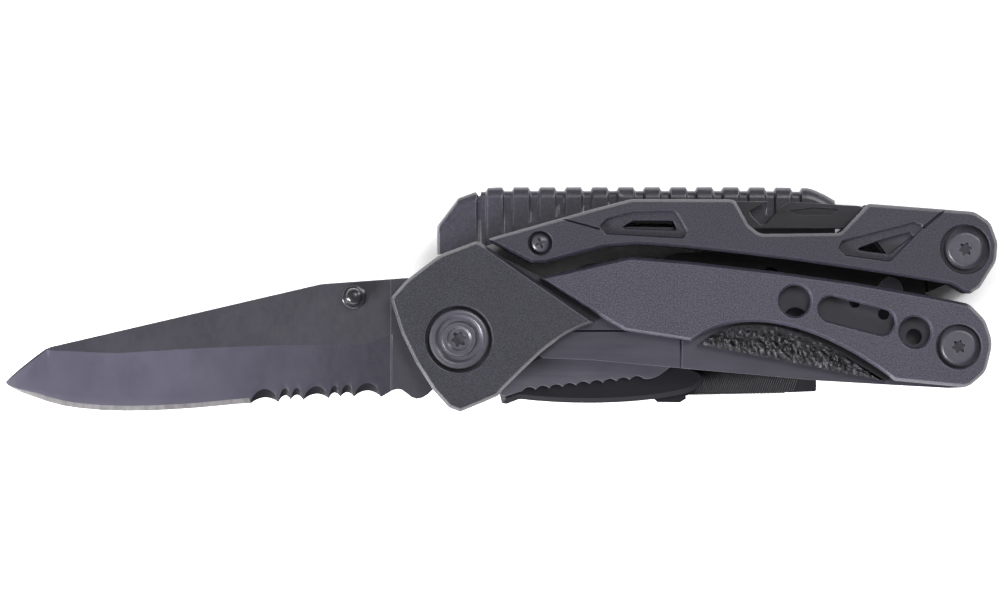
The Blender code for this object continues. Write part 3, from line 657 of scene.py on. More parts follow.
def rough_inlay(side, flip):
    """A domed, lumpy crescent."""
    low, high = layer(f"lower_{side}_grip_inlay")
    top_line = crescent(0.75)[::-1]
    shape = bmesh.new()
    grid = []
    for i in range(INLAY_COLUMNS + 1):
        t = i / INLAY_COLUMNS
        k = t * (len(top_line) - 1)
        j = min(int(k), len(top_line) - 2)
        up = Vector(top_line[j]).lerp(Vector(top_line[j + 1]), k - j)
        down = Vector(INLAY_FOOT[0]).lerp(Vector(INLAY_FOOT[1]), t)
        column = []
        for r in range(INLAY_ROWS + 1):
            s = r / INLAY_ROWS
            p = down.lerp(up, s)
            z = high + inlay_height(p, s, t)
            column.append(shape.verts.new(to_frame(p.x, p.y, (low + high - z) if flip else z)))
        grid.append(column)
    for a, b in zip(grid, grid[1:]):
        for r in range(INLAY_ROWS):
            shape.faces.new((a[r], b[r], b[r + 1], a[r + 1]))
    floor_level = high if flip else low
    rim_verts = [c[0] for c in grid] + grid[-1][1:] + [c[-1] for c in grid[::-1]][1:] + grid[0][::-1][1:-1]
    floor_verts = [shape.verts.new((v.co.x, v.co.y, floor_level * MM)) for v in rim_verts]
    join(shape, rim_verts, floor_verts)
    shape.faces.new(floor_verts[::-1])
    name = f"{side}_rough_inlay"
    make(name, mesh_from(shape, name), "lower_handle", [f"lower_{side}_grip_inlay"], INLAY, 50)


for side in ("front", "back"):
    flip = side == "back"
    node = f"lower_{side}_scale"
    plate(
        f"lower_{side}_plate", "lower_handle", [node], SCALE, layer(node),
        lower_scale_loop(), chamfer(0.55, 0.7), scale_holes(), flip,
    )
    node = f"{side}_bolster"
    bolster_loop = [(25.8, 4.15, 0.4), (4.5, 18.9, 1.0)] + BOLSTER_NOSE + BOLSTER_FOOT + BOLSTER_UNDER
    cap_seat = (circle(KNIFE_PIVOT, 6.05), 2.1, circle(KNIFE_PIVOT, BOLT_R + CLEAR), chamfer(0.25, 0.3))
    plate(
        f"{side}_bolster_plate", "lower_handle", [node], BOLSTER, layer(node),
        bolster_loop, chamfer(0.55, 0.8), [cap_seat], flip,
    )
    rough_inlay(side, flip)

# ---------------------------------------------------------------- upper handle's outer plates

UPPER_OUTER = [
    (95.6, 24.6, 3.0), (90.6, 25.0, 0), (76.0, 26.1, 1.0), (70.8, 20.7, 1.6), (56.0, 20.5, 3.0),
    (53.9, 22.2, 1.5), (51.4, 26.7, 1.2), (50.2, 26.9, 0.5), (32.2, 26.95, 5.0), (25.5, 25.2, 8.0),
    (11.3, 21.2, 0), (5.3, 19.5, 0.5),
]
UPPER_INNER = [
    (13.9, 15.1, 0.5), (16.5, 15.2, 2.0), (27.5, 18.2, 8.0), (33.9, 18.6, 6.0), (42.0, 18.0, 0),
    (52.9, 16.8, 0), (64.2, 15.4, 0), (78.4, 13.3, 0), (91.4, 11.2, 0),
]
UPPER_END = [(94.6, 9.3, 1.2), (96.6, 10.6, 2.0), (99.6, 15.4, 4.0), (99.9, 18.9, 4.0), (98.5, 22.7, 3.0)]
LONG_OUTER = [
    (26.6, 21.9, 0.5), (27.9, 23.2, 1.0), (32.8, 24.45, 1.2), (40.3, 24.6, 0.7), (42.4, 20.9, 0.5),
    (41.8, 19.9, 0.5), (27.6, 20.7, 0.6),
]
LONG_INNER = [(30.3, 21.55, 0.3), (32.6, 22.9, 0.5), (39.9, 22.9, 0.4), (40.7, 21.2, 0.3)]
WEDGE_OUTER = [
    (70.7, 17.8, 0.6), (71.3, 19.1, 0.7), (84.7, 22.5, 0.7), (86.1, 21.9, 0.6), (79.9, 15.6, 0.9),
    (71.9, 16.7, 0.7),
]
WEDGE_INNER = [(73.6, 17.6, 0.3), (77.6, 19.1, 0.6), (83.7, 20.8, 0.4), (84.2, 20.2, 0.3), (79.9, 16.8, 0.4)]

for side in ("front", "back"):
    flip = side == "back"
    levels = layer(f"upper_{side}_scale")
    rim, inner_rim = chamfer(0.3, 0.35), chamfer(0.15, 0.2)
    hinge_seat = circle(UPPER_PIVOT, 4.5)
    axle_seat = circle(OPENER_PIVOT, 2.2)
    holes = [
        (anticlockwise(rounded(outer)), WINDOW_STEP, anticlockwise(rounded(inner, 6)), rim, inner_rim)
        for outer, inner in ((LONG_OUTER, LONG_INNER), (WEDGE_OUTER, WEDGE_INNER))
    ]
    holes.append((hinge_seat, HEAD_SINK, circle(UPPER_PIVOT, BOLT_R + CLEAR), chamfer(0.2, 0.25)))
    holes.append((axle_seat, HEAD_SINK, circle(OPENER_PIVOT, OPENER_AXLE_R + CLEAR), inner_rim))
    scale = plate(
        f"upper_{side}_plate", "upper_handle", [f"upper_{side}_scale"], UPPER_SCALE, levels,
        UPPER_END + UPPER_OUTER + UPPER_INNER, chamfer(0.55, 0.7), holes, flip,
    )
    face = levels[0] if flip else levels[1]
    wedge_groove(scale, "groove_a", (18.4, 23.6), (26.4, 21.4), 0.5, 0.4, face, not flip)
    wedge_groove(scale, "groove_b", (86.0, 21.5), (91.0, 25.6), 0.6, 0.45, face, not flip)

# ---------------------------------------------------------------- liners

LINER_UNDER = [
    (4.6, -10.4, 1.0), (8.2, -8.0, 1.0), (12.0, -4.3, 0), (16.1, -2.5, 1.5), (25.2, -2.85, 0),
    (40.9, -4.3, 0), (55.3, -5.55, 0), (67.3, -6.65, 0), (79.9, -7.4, 0), (90.8, -8.0, 0),
]
LINER_NOSE = [
    (4.4, 18.4, 0.8), (3.4, 18.7, 1.2), (-3.2, 16.1, 9.0), (-9.0, 11.6, 9.0), (-11.8, 8.5, 0.9),
    (-9.8, 2.2, 9.0), (-7.0, -3.5, 9.0), (-4.0, -8.0, 0), (-1.2, -11.1, 1.0), (0.6, -11.9, 0.9),
]
LINER_HOLES = [
    circle((62.6, 4.7), 2.2, 32), circle((73.7, 7.9), 1.0, 24), circle((79.0, 5.7), 1.05, 24),
    circle((84.55, 1.5), 1.42, 32),
]
stop_pin = arc(KNIFE_PIVOT, 10.4, 66, 66, 1)[0]
PIN_R = 1.3
standoff = (27.4, 13.4)
bolt_holes = [circle(KNIFE_PIVOT, BOLT_R + CLEAR, 40), circle(LOWER_PIVOT, BOLT_R + CLEAR, 40)]
pin_holes = [circle(stop_pin, PIN_R + CLEAR, 24), circle(standoff, PIN_R + CLEAR, 24)]
soft = edge_round(0.1)
liner_top = LOWER_END + LOWER_INNER + [(15.4, 12.6, 0.4)]

bar_slot = [
    (4.6, -10.4, 1.0), (8.2, -8.0, 1.0), (11.9, -4.3, 0), (14.5, -1.9, 0.3), (6.7, -1.9, 0.3),
    (6.7, 2.75, 0.3), (41.6, 2.75, 0.3), (41.6, -4.35, 0),
]
front_loop = bar_slot + LINER_UNDER[6:] + liner_top + LINER_NOSE
bar_loop = [
    (6.95, -1.6, 0.3), (14.4, -1.6, 0.5), (16.1, -2.45, 1.0), (25.2, -2.8, 0), (LOCK_ROOT_X, -4.28, 0.1),
    (LOCK_ROOT_X, 2.45, 0.1), (6.95, 2.45, 0.6),
]
whole = LINER_UNDER + liner_top + LINER_NOSE


def liner(name, body, node, outline, holes=(), flip=False):
    softened = [(loop, soft) for loop in holes]
    plate(name, body, [node], LINER, layer(node), outline, soft, softened, flip, soft)


front_holes = bolt_holes + pin_holes + LINER_HOLES
back_holes = bolt_holes + pin_holes[1:] + LINER_HOLES
liner("knife_side_liner_plate", "lower_handle", "knife_side_liner", front_loop, front_holes)
liner("lock_bar_plate", "lock_bar", "liner_lock_bar", bar_loop)
liner("partition_plate", "lower_handle", "partition_liner", whole, bolt_holes + pin_holes)
liner("back_liner_plate", "lower_handle", "lower_back_liner", whole, back_holes, True)

UPPER_LINER = [
    (90.6, 24.6, 0), (76.2, 25.5, 1.0), (70.9, 20.1, 1.6), (55.9, 20.0, 3.0), (53.5, 21.9, 1.5),
    (51.0, 26.3, 1.2), (32.3, 26.5, 5.0), (25.7, 24.7, 8.0), (6.6, 19.2, 0.5),
]
upper_liner_loop = UPPER_END + [(95.4, 24.2, 3.0)] + UPPER_LINER + [(14.3, 15.3, 0.5)] + UPPER_INNER[1:]
hinge_hole = circle(UPPER_PIVOT, BOLT_R + CLEAR, 40)
axle_hole = circle(OPENER_PIVOT, OPENER_AXLE_R + CLEAR, 32)
long_gap = rounded([(30.2, 21.9, 0.3), (41.0, 21.75, 0.3), (41.0, 23.3, 0.3), (32.0, 23.3, 0.3)], 4)
wedge_gap = rounded([(72.8, 17.3, 0.2), (79.6, 16.5, 0.2), (77.5, 19.4, 0.2), (76.0, 19.2, 0.2)], 4)
upper_holes = (hinge_hole, axle_hole, long_gap, wedge_gap)
for node, flip in (("upper_front_liner", False), ("upper_partition", False), ("upper_back_liner", True)):
    liner(f"{node}_plate", "upper_handle", node, upper_liner_loop, upper_holes, flip)

# ---------------------------------------------------------------- ribbed grip

GROOVE_FIRST, GROOVE_PITCH, GROOVES = 4.6, 4.87, 13


def groove_depth(x):
    """0 on a rib and 1 in a groove, with sloping sides."""
    k = round((x - GROOVE_FIRST) / GROOVE_PITCH)
    if not 0 <= k < GROOVES:
        return 0.0
    away = abs(x - GROOVE_FIRST - k * GROOVE_PITCH)
    return max(0.0, min(1.0, (1.05 - away) / 0.35))


def grip_top(x):
    crown = 29.32 - 0.35 * max(0.0, (8.0 - x) / 8.0) ** 1.2 - 0.16 * max(0.0, (x - 45) / 20) ** 2
    if x < 4.4:
        crown = min(crown, 28.45 - max(0.0, 3.3 - x) * 0.36)
    if x < 0.2:
        crown = min(crown, 27.35 + (x - 0.2) * 1.33)
    if x > 65.2:
        crown = min(crown, 29.1 - (x - 65.2) ** 1.35 * 0.26)
    return crown


def grip_bottom(x):
    if x < 2.0:
        return 16.75 + 0.12 * max(0.0, x + 3.6)
    if x < 30.0:
        return 17.4 + (x - 2.0) * 0.29
    if x < 49.0:
        return 25.52 - 3.02 * min(1.0, (x - 30) / 4)
    return 22.5 - 3.0 * min(1.0, (x - 49.0) / 6.0)


GRIP_START, GRIP_END, GRIP_STEP = -3.72, 70.2, 0.16
GRIP_ROLL, ROLL_STEPS = 2.0, 7
RIB_SINK, RIB_SIDE_SINK = 0.72, 0.5


def groove_foot(x, bottom):
    """How far down the near face a groove runs."""
    lowest = 20.6 + 1.5 * (x - GROOVE_FIRST) / GROOVE_PITCH if x < 19 else 24.6
    return max(bottom + 1.0, lowest)


def grip_section(x, low, high):
    top, bottom = grip_top(x), grip_bottom(x)
    near_end = 1.0 if x > -3.3 else 0.35 + 0.65 * (x - GRIP_START) / 0.42
    groove = groove_depth(x)
    r = min(GRIP_ROLL, (top - bottom) * 0.45)
    squeeze = (1 - near_end) * 1.2
    high, low = high - squeeze, low + squeeze
    points = [(bottom, low), (bottom, high)]
    # near face: grooves run down it from the edge and fade out
    for s in (0.0, 0.3, 0.6, 0.75, 0.85, 0.93, 1.0):
        y = bottom + (top - r - bottom) * s
        fade = max(0.0, min(1.0, (y - groove_foot(x, bottom)) / 0.8 + 0.5))
        points.append((y + 1e-4 * s, high - RIB_SIDE_SINK * groove * fade))
    roll = []
    for k in range(ROLL_STEPS + 1):
        a = math.pi / 2 * k / ROLL_STEPS
        side = (r - RIB_SIDE_SINK * groove * math.cos(a)) * math.cos(a) ** 0.9
        roll.append((top - r + (r - RIB_SINK * groove) * math.sin(a), r - side))
    points += [(y, high - drop) for y, drop in roll[1:]]
    points += [(y, low + drop) for y, drop in roll[::-1]]
    return [to_frame(x, y, z) for y, z in points]


def grip_mesh():
    low, high = layer("ribbed_grip")
    shape = bmesh.new()
    count = int((GRIP_END - GRIP_START) / GRIP_STEP) + 1
    stations = [round(GRIP_START + GRIP_STEP * i, 3) for i in range(count)]
    sections = [[shape.verts.new(p) for p in grip_section(x, low, high)] for x in stations]
    for a, b in zip(sections, sections[1:]):
        join(shape, a, b)
    shape.faces.new(sections[0])
    shape.faces.new(sections[-1][::-1])
    bmesh.ops.remove_doubles(shape, verts=shape.verts, dist=1e-7)
    return mesh_from(shape, "grip_spine")


make("grip_spine", grip_mesh(), "upper_handle", ["ribbed_grip"], GRIP, 40)

# ---------------------------------------------------------------- knife

# the serrated part's teeth, and for each hollow between them the levels of its edge and of its bevel's top
SCALLOPS = [
    (-38.4, -11.1), (-33.1, -10.7), (-30.8, -10.25), (-28.5, -10.3), (-23.8, -10.0), (-21.6, -9.75),
    (-19.1, -9.7), (-14.1, -9.7),
]
HOLLOWS = [(-9.8, -8.2), (-9.4, -8.1), (-9.3, -8.0), (-9.1, -7.7), (-8.9, -7.6), (-8.8, -7.4), (-8.5, -7.1)]
PLUNGE = (-12.3, -11.75)
POINT_X, ROOT_X, GRIND_END, SERRATED_END = -83.7, 8.35, -12.0, -14.0


def along(points, x):
    """Linear reading of y at x from a list of points in rising x."""
    if x <= points[0][0]:
        return points[0][1]
    for (xa, ya), (xb, yb) in zip(points, points[1:]):
        if x <= xb:
            return ya + (yb - ya) * (x - xa) / (xb - xa)
    return points[-1][1]


BELLY = [
    (-83.7, -7.0), (-83.2, -7.55), (-82.2, -8.15), (-80.8, -8.8), (-78.6, -9.6), (-76.0, -10.5),
    (-73.0, -11.28), (-70.0, -11.76), (-66.0, -12.12), (-61.4, -12.26), (-57.0, -12.22), (-52.0, -11.96),
    (-47.0, -11.6), (-42.0, -11.1), (-38.4, -10.8),
]
HEEL = [
    (-14.1, -9.7), (-13.0, -9.05), (-11.9, -8.4), (-11.0, -8.2), (-10.2, -8.35), (-9.3, -9.0),
    (-8.4, -9.7), (-7.5, -10.0), (-6.4, -9.8), (-5.3, -9.1), (-3.1, -6.85), (-1.0, -7.5), (2.0, -7.45),
    (5.0, -6.3), (7.4, -4.0), (8.35, -2.44),
]
SPINE = [
    (-83.7, -6.9), (-82.5, -5.7), (-80.8, -4.25), (-78.2, -2.2), (-76.2, -0.75), (-75.2, -0.35),
    (-25.4, 11.2), (-24.6, 11.3), (-9.8, 12.35), (2.2, 12.5), (2.79, 12.3), (2.8, 7.1), (4.4, 6.0),
    (5.8, 4.4), (6.5, 2.7), (6.7, 1.1), (6.71, -1.7), (8.35, -2.4),
]
GRIND = [
    (-83.7, -6.92), (-75.9, -0.9), (-75.0, -1.05), (-63.3, -1.55), (-45.0, -0.5), (-35.0, -0.15),
    (-16.5, 0.1), (-12.2, 2.0), (-11.0, 2.0),
]


def scallop_at(x):
    for i, (a, b) in enumerate(zip(SCALLOPS, SCALLOPS[1:])):
        if a[0] <= x <= b[0]:
            t = (x - a[0]) / (b[0] - a[0])
            return i, t, a[1] + (b[1] - a[1]) * t
    return None


def knife_edge(x):
    found = scallop_at(x)
    if found:
        i, t, base = found
        lift = HOLLOWS[i][0] - (SCALLOPS[i][1] + SCALLOPS[i + 1][1]) / 2
        return base + lift * math.sin(math.pi * t) ** 0.75
    return along(BELLY, x) if x < SCALLOPS[0][0] else along(HEEL, x)


def knife_bevel(x):
    """Upper limit of the sharpened strip."""
    found = scallop_at(x)
    if found:
        i, t, base = found
        lift = HOLLOWS[i][1] - (SCALLOPS[i][1] + SCALLOPS[i + 1][1]) / 2
        return base + max(0.05, lift * math.sin(math.pi * min(1.0, t)) ** 0.6)
    if x < SCALLOPS[0][0]:
        width = 0.95 * min(1.0, (x - POINT_X) / 6.0)
        return along(BELLY, x) + width
    return along(HEEL, x) + 0.05


def knife_mesh():
    low, high = layer("knife_blade")
    middle, half = (low + high) / 2, (high - low) / 2
    stations = set()
    x = POINT_X + 0.05
    while x < ROOT_X - 0.05:
        stations.add(round(x, 3))
        if x < -76 or SCALLOPS[0][0] - 0.5 < x < -6:
            x += 0.13
        else:
            x += 0.7
    for points in (SCALLOPS, SPINE, GRIND, HEEL, BELLY):
        stations.update(round(px, 3) for px, _ in points if -83.66 < px < 8.34)
    stations.update(PLUNGE)
    shape = bmesh.new()
    fronts, backs, kinds = [], [], []
    for x in sorted(stations):
        spine, edge = along(SPINE, x), knife_edge(x)
        spine = max(spine, edge + 0.02)
        ground = x < GRIND_END
        bevel = min(max(knife_bevel(x), edge + 0.01), spine - 0.005)
        line = min(max(along(GRIND, x), bevel + 0.004), spine - 0.002)
        column = [(spine, half - 0.12), (spine - min(0.12, 0.2 * (spine - line)), half)]
        fade = 1.0 if ground else 0.0
        foot = bevel if x < SCALLOPS[0][0] else -10.0 + 1.2 * (x - SCALLOPS[0][0]) / 24.3
        end_thick = half - fade * (half - 0.42)
        column.append((line, half))
        for k in range(1, 7):
            y = line + (bevel - line) * k / 6
            depth = min(1.0, (line - y) / (line - foot)) if line > foot else 1.0
            column.append((y, half + (end_thick - half) * depth**0.85))
        tip = min(1.0, (x - POINT_X) / 5.0)
        column.append((edge, 0.03 if x < SERRATED_END else end_thick * 0.96))
        if x < -75.9:
            # behind the point the whole side is ground: thickness falls with the remaining height
            limit = half * max(0.06, (spine - edge) / 11.0 + 0.02)
            column = [(y, min(z, limit + (half - limit) * tip * 0.55)) for y, z in column]
        fronts.append([shape.verts.new(to_frame(x, y, middle + z)) for y, z in column])
        backs.append([shape.verts.new(to_frame(x, y, middle - z)) for y, z in column])
        kinds.append(x)
    rows = len(fronts[0])
    for i in range(len(fronts) - 1):
        for j in range(rows - 1):
            sharpened = j == rows - 2 and kinds[i] < -14.1
            for cols, order in ((fronts, 1), (backs, -1)):
                quad = [cols[i][j], cols[i][j + 1], cols[i + 1][j + 1], cols[i + 1][j]]
                face = shape.faces.new(quad[::order])
                if kinds[i] == PLUNGE[0] or sharpened and kinds[i] < SCALLOPS[0][0] + 0.1:
                    face.material_index = 1
                elif sharpened:
                    face.material_index = 3
                elif 2 <= j and kinds[i] < PLUNGE[0]:
                    # the grind's faces take the paler finish with its painted reflection
                    face.material_index = 2
        shape.faces.new((fronts[i][0], fronts[i + 1][0], backs[i + 1][0], backs[i][0]))
        shape.faces.new((fronts[i][-1], backs[i][-1], backs[i + 1][-1], fronts[i + 1][-1]))
    for end in (0, -1):
        shape.faces.new(fronts[end] + backs[end][::-1])
    bmesh.ops.remove_doubles(shape, verts=shape.verts, dist=5e-7)
    return mesh_from(shape, "knife_blade_ground")


knife = make("knife_blade_ground", knife_mesh(), "knife", ["knife_blade"], BLADE, 22)
for finish in (EDGE, GRIND_PAINTED_SHEEN, DARK_TOOL):
    knife.data.materials.append(finish)
low, high = layer("knife_blade")
cut(knife, "pivot_hole", circle(KNIFE_PIVOT, BOLT_R + CLEAR, 48), low - 1, high + 1)

STUD_CENTRE = (-19.1, 8.9)
STUD_DOME = [(0, 0), (0.55, 0.04), (1.05, 0.2), (1.4, 0.5), (1.6, 0.95), (1.62, 1.2), (1.45, 1.7), (1.3, 2.1)]
STUD_BASE = [
    (1.35, 1.1), (1.55, 0.95), (2.0, 0.85), (2.25, 0.6), (2.3, 0.05), (1.2, 0.02), (1.2, -2.2), (0, -2.2),
]
face = layer("knife_blade")[1]
crown = layer("thumb_stud")[1]
lathe(
    "thumb_stud_turned", "knife", ["thumb_stud"], STUD, STUD_CENTRE,
    [(r, crown - drop) for r, drop in STUD_DOME] + [(r, face + rise) for r, rise in STUD_BASE],
)

# ---------------------------------------------------------------- screws

# heads as (radius, depth below the face)
CAP_RINGS = [
    (0, 0.5), (1.9, 0.5), (2.1, 0.35), (2.3, 0.2), (3.0, 0.2), (3.2, 0.35), (3.35, 0.55), (3.9, 0.55),
    (4.1, 0.4), (4.3, 0.12), (4.5, 0.02), (5.0, 0.0), (5.3, 0.1), (5.5, 0.35), (5.5, 1.75), (0, 1.75),
]
HINGE_HEAD = [
    (0, 0.0), (2.75, 0.0), (2.95, 0.03), (3.1, 0.12), (3.3, 0.45), (3.55, 0.62), (3.75, 0.8), (3.75, 1.3),
    (BOLT_R, 1.3),
]
AXLE_HEAD = [(0, 0.0), (0.9, 0.04), (1.4, 0.2), (1.75, 0.5), (1.9, 0.9), (1.9, 1.2), (OPENER_AXLE_R, 1.2)]
RECESS_DEPTH = 1.1


def head_profile(head, face, inward, shank_r=0, far=None):
    """The head's outline from its face, then the shank down to its far end."""
    profile = [(r, face - inward * depth) for r, depth in head]
    return profile + [(shank_r, far), (0, far)] if shank_r else profile


def ringed_cap(name, node, face, inward):
    profile = head_profile(CAP_RINGS, face, inward)
    recess = (face - inward * 0.3, inward * RECESS_DEPTH)
    lathe(name, "lower_handle", [node], STEEL, KNIFE_PIVOT, profile, 96, recess, 6, 1.55)


ringed_cap("knife_cap_front", "knife_pivot_screw", layer("knife_pivot_screw")[1], 1)
ringed_cap("knife_cap_back", "knife_pivot_nut", layer("knife_pivot_nut")[0], -1)


def ends(node, inward):
    """A fastener's face and its far end."""
    low, high = layer(node)
    return (high, low) if inward > 0 else (low, high)


for which, body, centre in (("lower", "lower_handle", LOWER_PIVOT), ("upper", "upper_handle", UPPER_PIVOT)):
    for kind, inward in (("screw", 1), ("nut", -1)):
        node = f"{which}_hinge_{kind}"
        face, far = ends(node, inward)
        profile = head_profile(HINGE_HEAD, face, inward, BOLT_R, far)
        recess = (face + inward * 0.1, inward * RECESS_DEPTH)
        lathe(f"{node}_turned", body, [node], STEEL, centre, profile, 72, recess, 6, 1.35)

for node, inward in (("opener_axle_screw", 1), ("opener_axle_nut", -1)):
    face, far = ends(node, inward)
    profile = head_profile(AXLE_HEAD, face, inward, OPENER_AXLE_R, far)
    recess = (face + inward * 0.1, inward * 0.7)
    lathe(f"{node}_turned", "upper_handle", [node], STEEL, OPENER_PIVOT, profile, 56, recess, 4)

# ---------------------------------------------------------------- small tools

PIVOT_HOLE = [(circle(KNIFE_PIVOT, BOLT_R + CLEAR, 40), edge_round(0.08))]
TANG_R = 4.8
HEEL_POINT = (7.5, 4.8)


def tang(end):
    return arc(KNIFE_PIVOT, TANG_R, 62, end, 32)


def small_tool(name, body, node, finish, outline, rim, under):
    plate(name, body, [node], finish, layer(node), outline, rim, PIVOT_HOLE, False, under)


def wave(first, last, count, lift, steps=10):
    """Scallops between two points, arching up by lift."""
    found = []
    for i in range(count * steps + 1):
        t = i / (count * steps)
        rise = lift * abs(math.sin(math.pi * t * count)) ** 0.8
        found.append((first[0] + (last[0] - first[0]) * t, first[1] + (last[1] - first[1]) * t + rise))
    return found


tool_rim = edge_round(0.15)
scaler_tip = bezier((35.4, -6.4), (37.0, -6.3), (38.4, -5.2), (40.1, -3.8), 12)
scaler = tang(230) + [(6.5, -8.6), (8.9, -9.6)] + wave((12.1, -8.6), (34.6, -6.3), 9, 0.6) + scaler_tip
scaler += [(38.5, -1.6), (15.0, 2.2), HEEL_POINT]
small_tool("fish_scaler_plate", "scaler", "fish_scaler", TOOL, scaler, tool_rim, tool_rim)

# ground from both sides to a thin edge
BLADE_BEVEL, BLADE_DROP = 0.9, 0.75
nail_hook = [(6.2, -7.9), (7.9, -9.3), (8.3, -10.9), (9.2, -11.05), (11.4, -10.2)]
blade_loop = tang(232) + nail_hook + bezier((12.2, -10.2), (22.0, -11.3), (34.0, -11.1), (42.5, -9.1), 24)
blade_loop += bezier((43.4, -8.8), (46.0, -7.7), (46.9, -5.7), (45.6, -4.7), 12)
blade_loop += [(42.0, -3.0), (20.0, -1.2), HEEL_POINT]
ground = [(0.0, BLADE_DROP), (BLADE_BEVEL, 0.0)]
small_tool("small_blade_plate", "short_blade", "small_blade", DARK_TOOL, blade_loop, ground, ground)

driver = tang(236) + [(9.0, -9.4), (36.7, -10.2), (37.3, -10.75), (41.5, -10.8), (42.6, -10.1)]
driver += [(42.5, -6.2), (36.5, -4.0), (12.0, 0.5), HEEL_POINT]
small_tool("flat_driver_plate", "driver", "flat_driver", DARK_TOOL, driver, tool_rim, tool_rim)

# ---------------------------------------------------------------- file

EDGE_TEETH, EDGE_PITCH, EDGE_START = 70, 0.26, 43.0
CUTS, CUT_PITCH, CUT_START = 44, 0.42, 44.5
CUT_LEAN = 2.4
CUT_BOTTOM, CUT_TOP = -8.85, -2.6
CUT_HALF_WIDTH, CUT_HEIGHT = 0.13, 0.16


def file_loop():
    """The file's outline, with fine teeth along its lower edge."""
    teeth = []
    for i in range(EDGE_TEETH):
        x = EDGE_START + i * EDGE_PITCH
        rise = 0.02 * (x - EDGE_START)
        teeth += [(x, -9.55 + rise), (x + EDGE_PITCH / 2, -9.3 + rise)]
    end = [(62.0, -8.95), (66.7, -8.75), (66.95, -8.5), (66.95, -2.4), (66.7, -2.2)]
    return tang(240) + [(9.0, -8.6)] + teeth + end + [(44.0, -1.2), (14.0, 1.8), HEEL_POINT]


def file_cuts():
    """Slanting ridges across the file's near face."""
    face = layer("file")[1]
    shape = bmesh.new()
    for i in range(CUTS):
        x = CUT_START + i * CUT_PITCH
        start, end = Vector((x, CUT_BOTTOM)), Vector((x + CUT_LEAN, CUT_TOP))
        way = (end - start).normalized()
        side = Vector((-way.y, way.x)) * CUT_HALF_WIDTH
        rings = []
        for p in (start, end):
            corners = ((p + side, -0.02), (p, CUT_HEIGHT), (p - side, -0.02))
            rings.append([shape.verts.new(to_frame(*q, face + rise)) for q, rise in corners])
        close(shape, *rings)
    return mesh_from(shape, "file_teeth")


small_tool("file_plate", "file_tool", "file", FILE_STEEL, file_loop(), [(0.0, 0.05), (0.05, 0.0)], None)
make("file_teeth", file_cuts(), "file_tool", [], FILE_STEEL)

# ---------------------------------------------------------------- opener

opener_tip = [(53.8, 21.5), (71.8, 21.45), (75.8, 25.4), (74.4, 25.75), (61.6, 26.5), (60.2, 25.6)]
notch = [(58.6, 24.1), (57.3, 22.5), (56.2, 22.3), (54.6, 23.9), (54.2, 24.7), (57.6, 26.55)]
opener_loop = arc(OPENER_PIVOT, 3.4, 118, 322, 28) + [(29.5, 22.6), (50.5, 22.2)] + opener_tip + notch
opener_loop += [(53.0, 26.6), (50.0, 26.5), (31.0, 26.4), (27.0, 24.8)]
opener = plate(
    "bottle_opener_plate", "opener", ["bottle_opener"], OPENER, layer("bottle_opener"),
    opener_loop, edge_round(0.18), [(circle(OPENER_PIVOT, OPENER_AXLE_R + CLEAR, 32), edge_round(0.08))],
    False, tool_rim,
)
top = layer("bottle_opener")[1]
nick = [(61.2, 24.9, 0.3), (63.0, 24.0, 0.6), (69.3, 24.0, 0.6), (71.0, 25.2, 0.3), (66.0, 25.5, 2.0)]
cut(opener, "nail_nick", rounded(nick, 6), top - 0.8, top)

# ---------------------------------------------------------------- kept CAD nodes

KEPT = {
    STEEL: (
        "knife_axle", "knife_stop_pin", "liner_standoff", "lower_hinge_spacer", "upper_hinge_spacer",
        "plier_rivet",
    ),
    DARK_STEEL: ("tool_backspring", "plier_jaw_upper", "plier_jaw_lower"),
    BRONZE: ("knife_back_washer", "knife_front_washer"),
}
for finish, nodes in KEPT.items():
    for node in nodes:
        for material_slot in frame["nodes"][node].material_slots:
            material_slot.material = finish

# ---------------------------------------------------------------- floor, light, camera

GLOW_CENTRE = (42.0, 5.5)
GLOW_RADII = (52.0, 13.5)
FLOOR_DROP = 0.0002
WHITE = (1.0, 1.0, 1.0, 1.0)


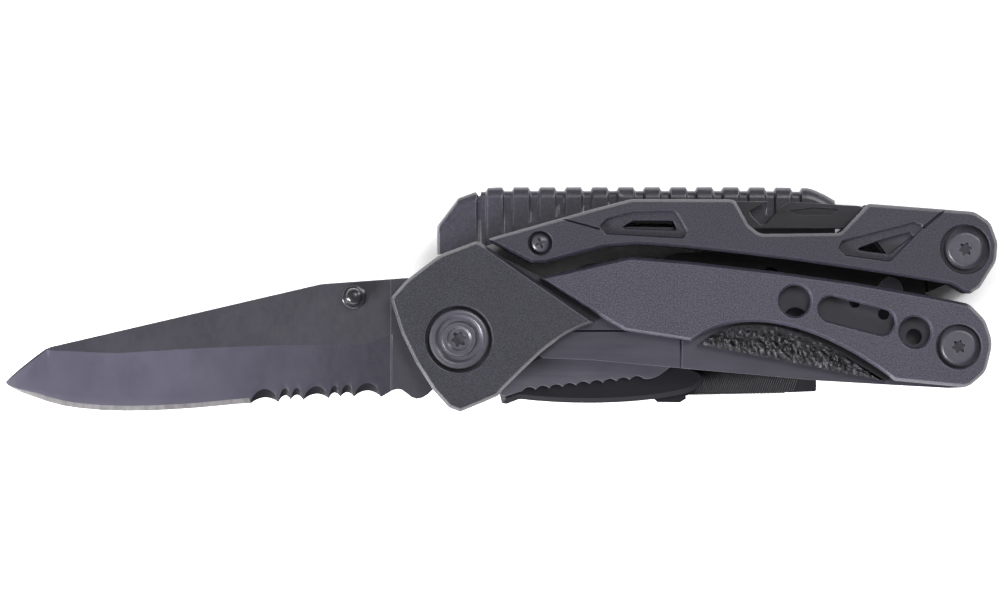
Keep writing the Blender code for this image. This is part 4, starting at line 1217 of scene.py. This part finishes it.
def floor_material():
    """White paper, lit from within except under the handles, so that their gap stays dark."""
    n = Nodes("studio_floor")
    tone = n.noise(0.02, 2.0)
    rx, ry = (r * MM for r in GLOW_RADII)
    cx, cy = (c * MM for c in GLOW_CENTRE)
    centre, scale = (-cx / rx, -cy / ry, 0.0), (1 / rx, 1 / ry, 1.0)
    around = n.add("ShaderNodeMapping", {"Vector": n.place}, Location=centre, Scale=scale)
    away = n.add("ShaderNodeVectorMath", {0: around.outputs["Vector"]}, operation="LENGTH").outputs["Value"]
    n.tree.links.new(n.ramp(away, 0.0, 0.7, 0.85, 1.2), n.shader.inputs["Emission Strength"])
    n.shader.inputs["Emission Color"].default_value = WHITE
    return n.finish(n.shade((0.93, 0.93, 0.94), n.ramp(tone, 0.995, 1.0)), n.ramp(tone, 0.55, 0.6))


bpy.ops.mesh.primitive_plane_add(size=6.0, location=(0, 0, -FLOOR_DROP))
floor = bpy.context.active_object
floor.name = "studio_floor"
floor.data.materials.append(floor_material())

bpy.context.scene.view_settings.view_transform = "Standard"
world = bpy.data.worlds.new("studio")
bpy.context.scene.world = world
world.use_nodes = True
sky = world.node_tree.nodes["Background"].inputs
sky["Color"].default_value = WHITE
sky["Strength"].default_value = 0.38


def lamp(name, place, size, power, aim=(0, 0, 0)):
    data = bpy.data.lights.new(name, "AREA")
    data.shape = "RECTANGLE"
    data.size, data.size_y = size
    data.energy = power
    obj = bpy.data.objects.new(name, data)
    obj.location = place
    obj.visible_camera = False
    obj.rotation_euler = (Vector(aim) - Vector(place)).to_track_quat("-Z", "Y").to_euler()
    bpy.context.scene.collection.objects.link(obj)


lamp("key", (-0.75, -0.55, 0.6), (0.3, 0.3), 17.0)
lamp("overhead", (0.35, 0.45, 1.2), (0.5, 0.5), 6.0)
lamp("low_left", (-0.8, -0.3, 0.16), (0.2, 0.8), 14.0)
lamp("low_front", (-0.2, -0.8, 0.16), (0.8, 0.2), 2.5)
lamp("low_right", (0.8, 0.5, 0.3), (0.3, 0.8), 6.0)

lens = bpy.data.cameras.new("camera")
lens.lens = 300.0
lens.sensor_width = 36.0
lens.clip_start = 0.05
camera = bpy.data.objects.new("camera", lens)
# the picture is this wide at the plane of the lower front plate's underside
PICTURE_WIDTH = 0.185
view_plane = layer("lower_front_scale")[0] * MM
camera.location = (-0.0002, -0.0002, view_plane + PICTURE_WIDTH * lens.lens / lens.sensor_width)
bpy.context.scene.collection.objects.link(camera)
bpy.context.scene.camera = camera
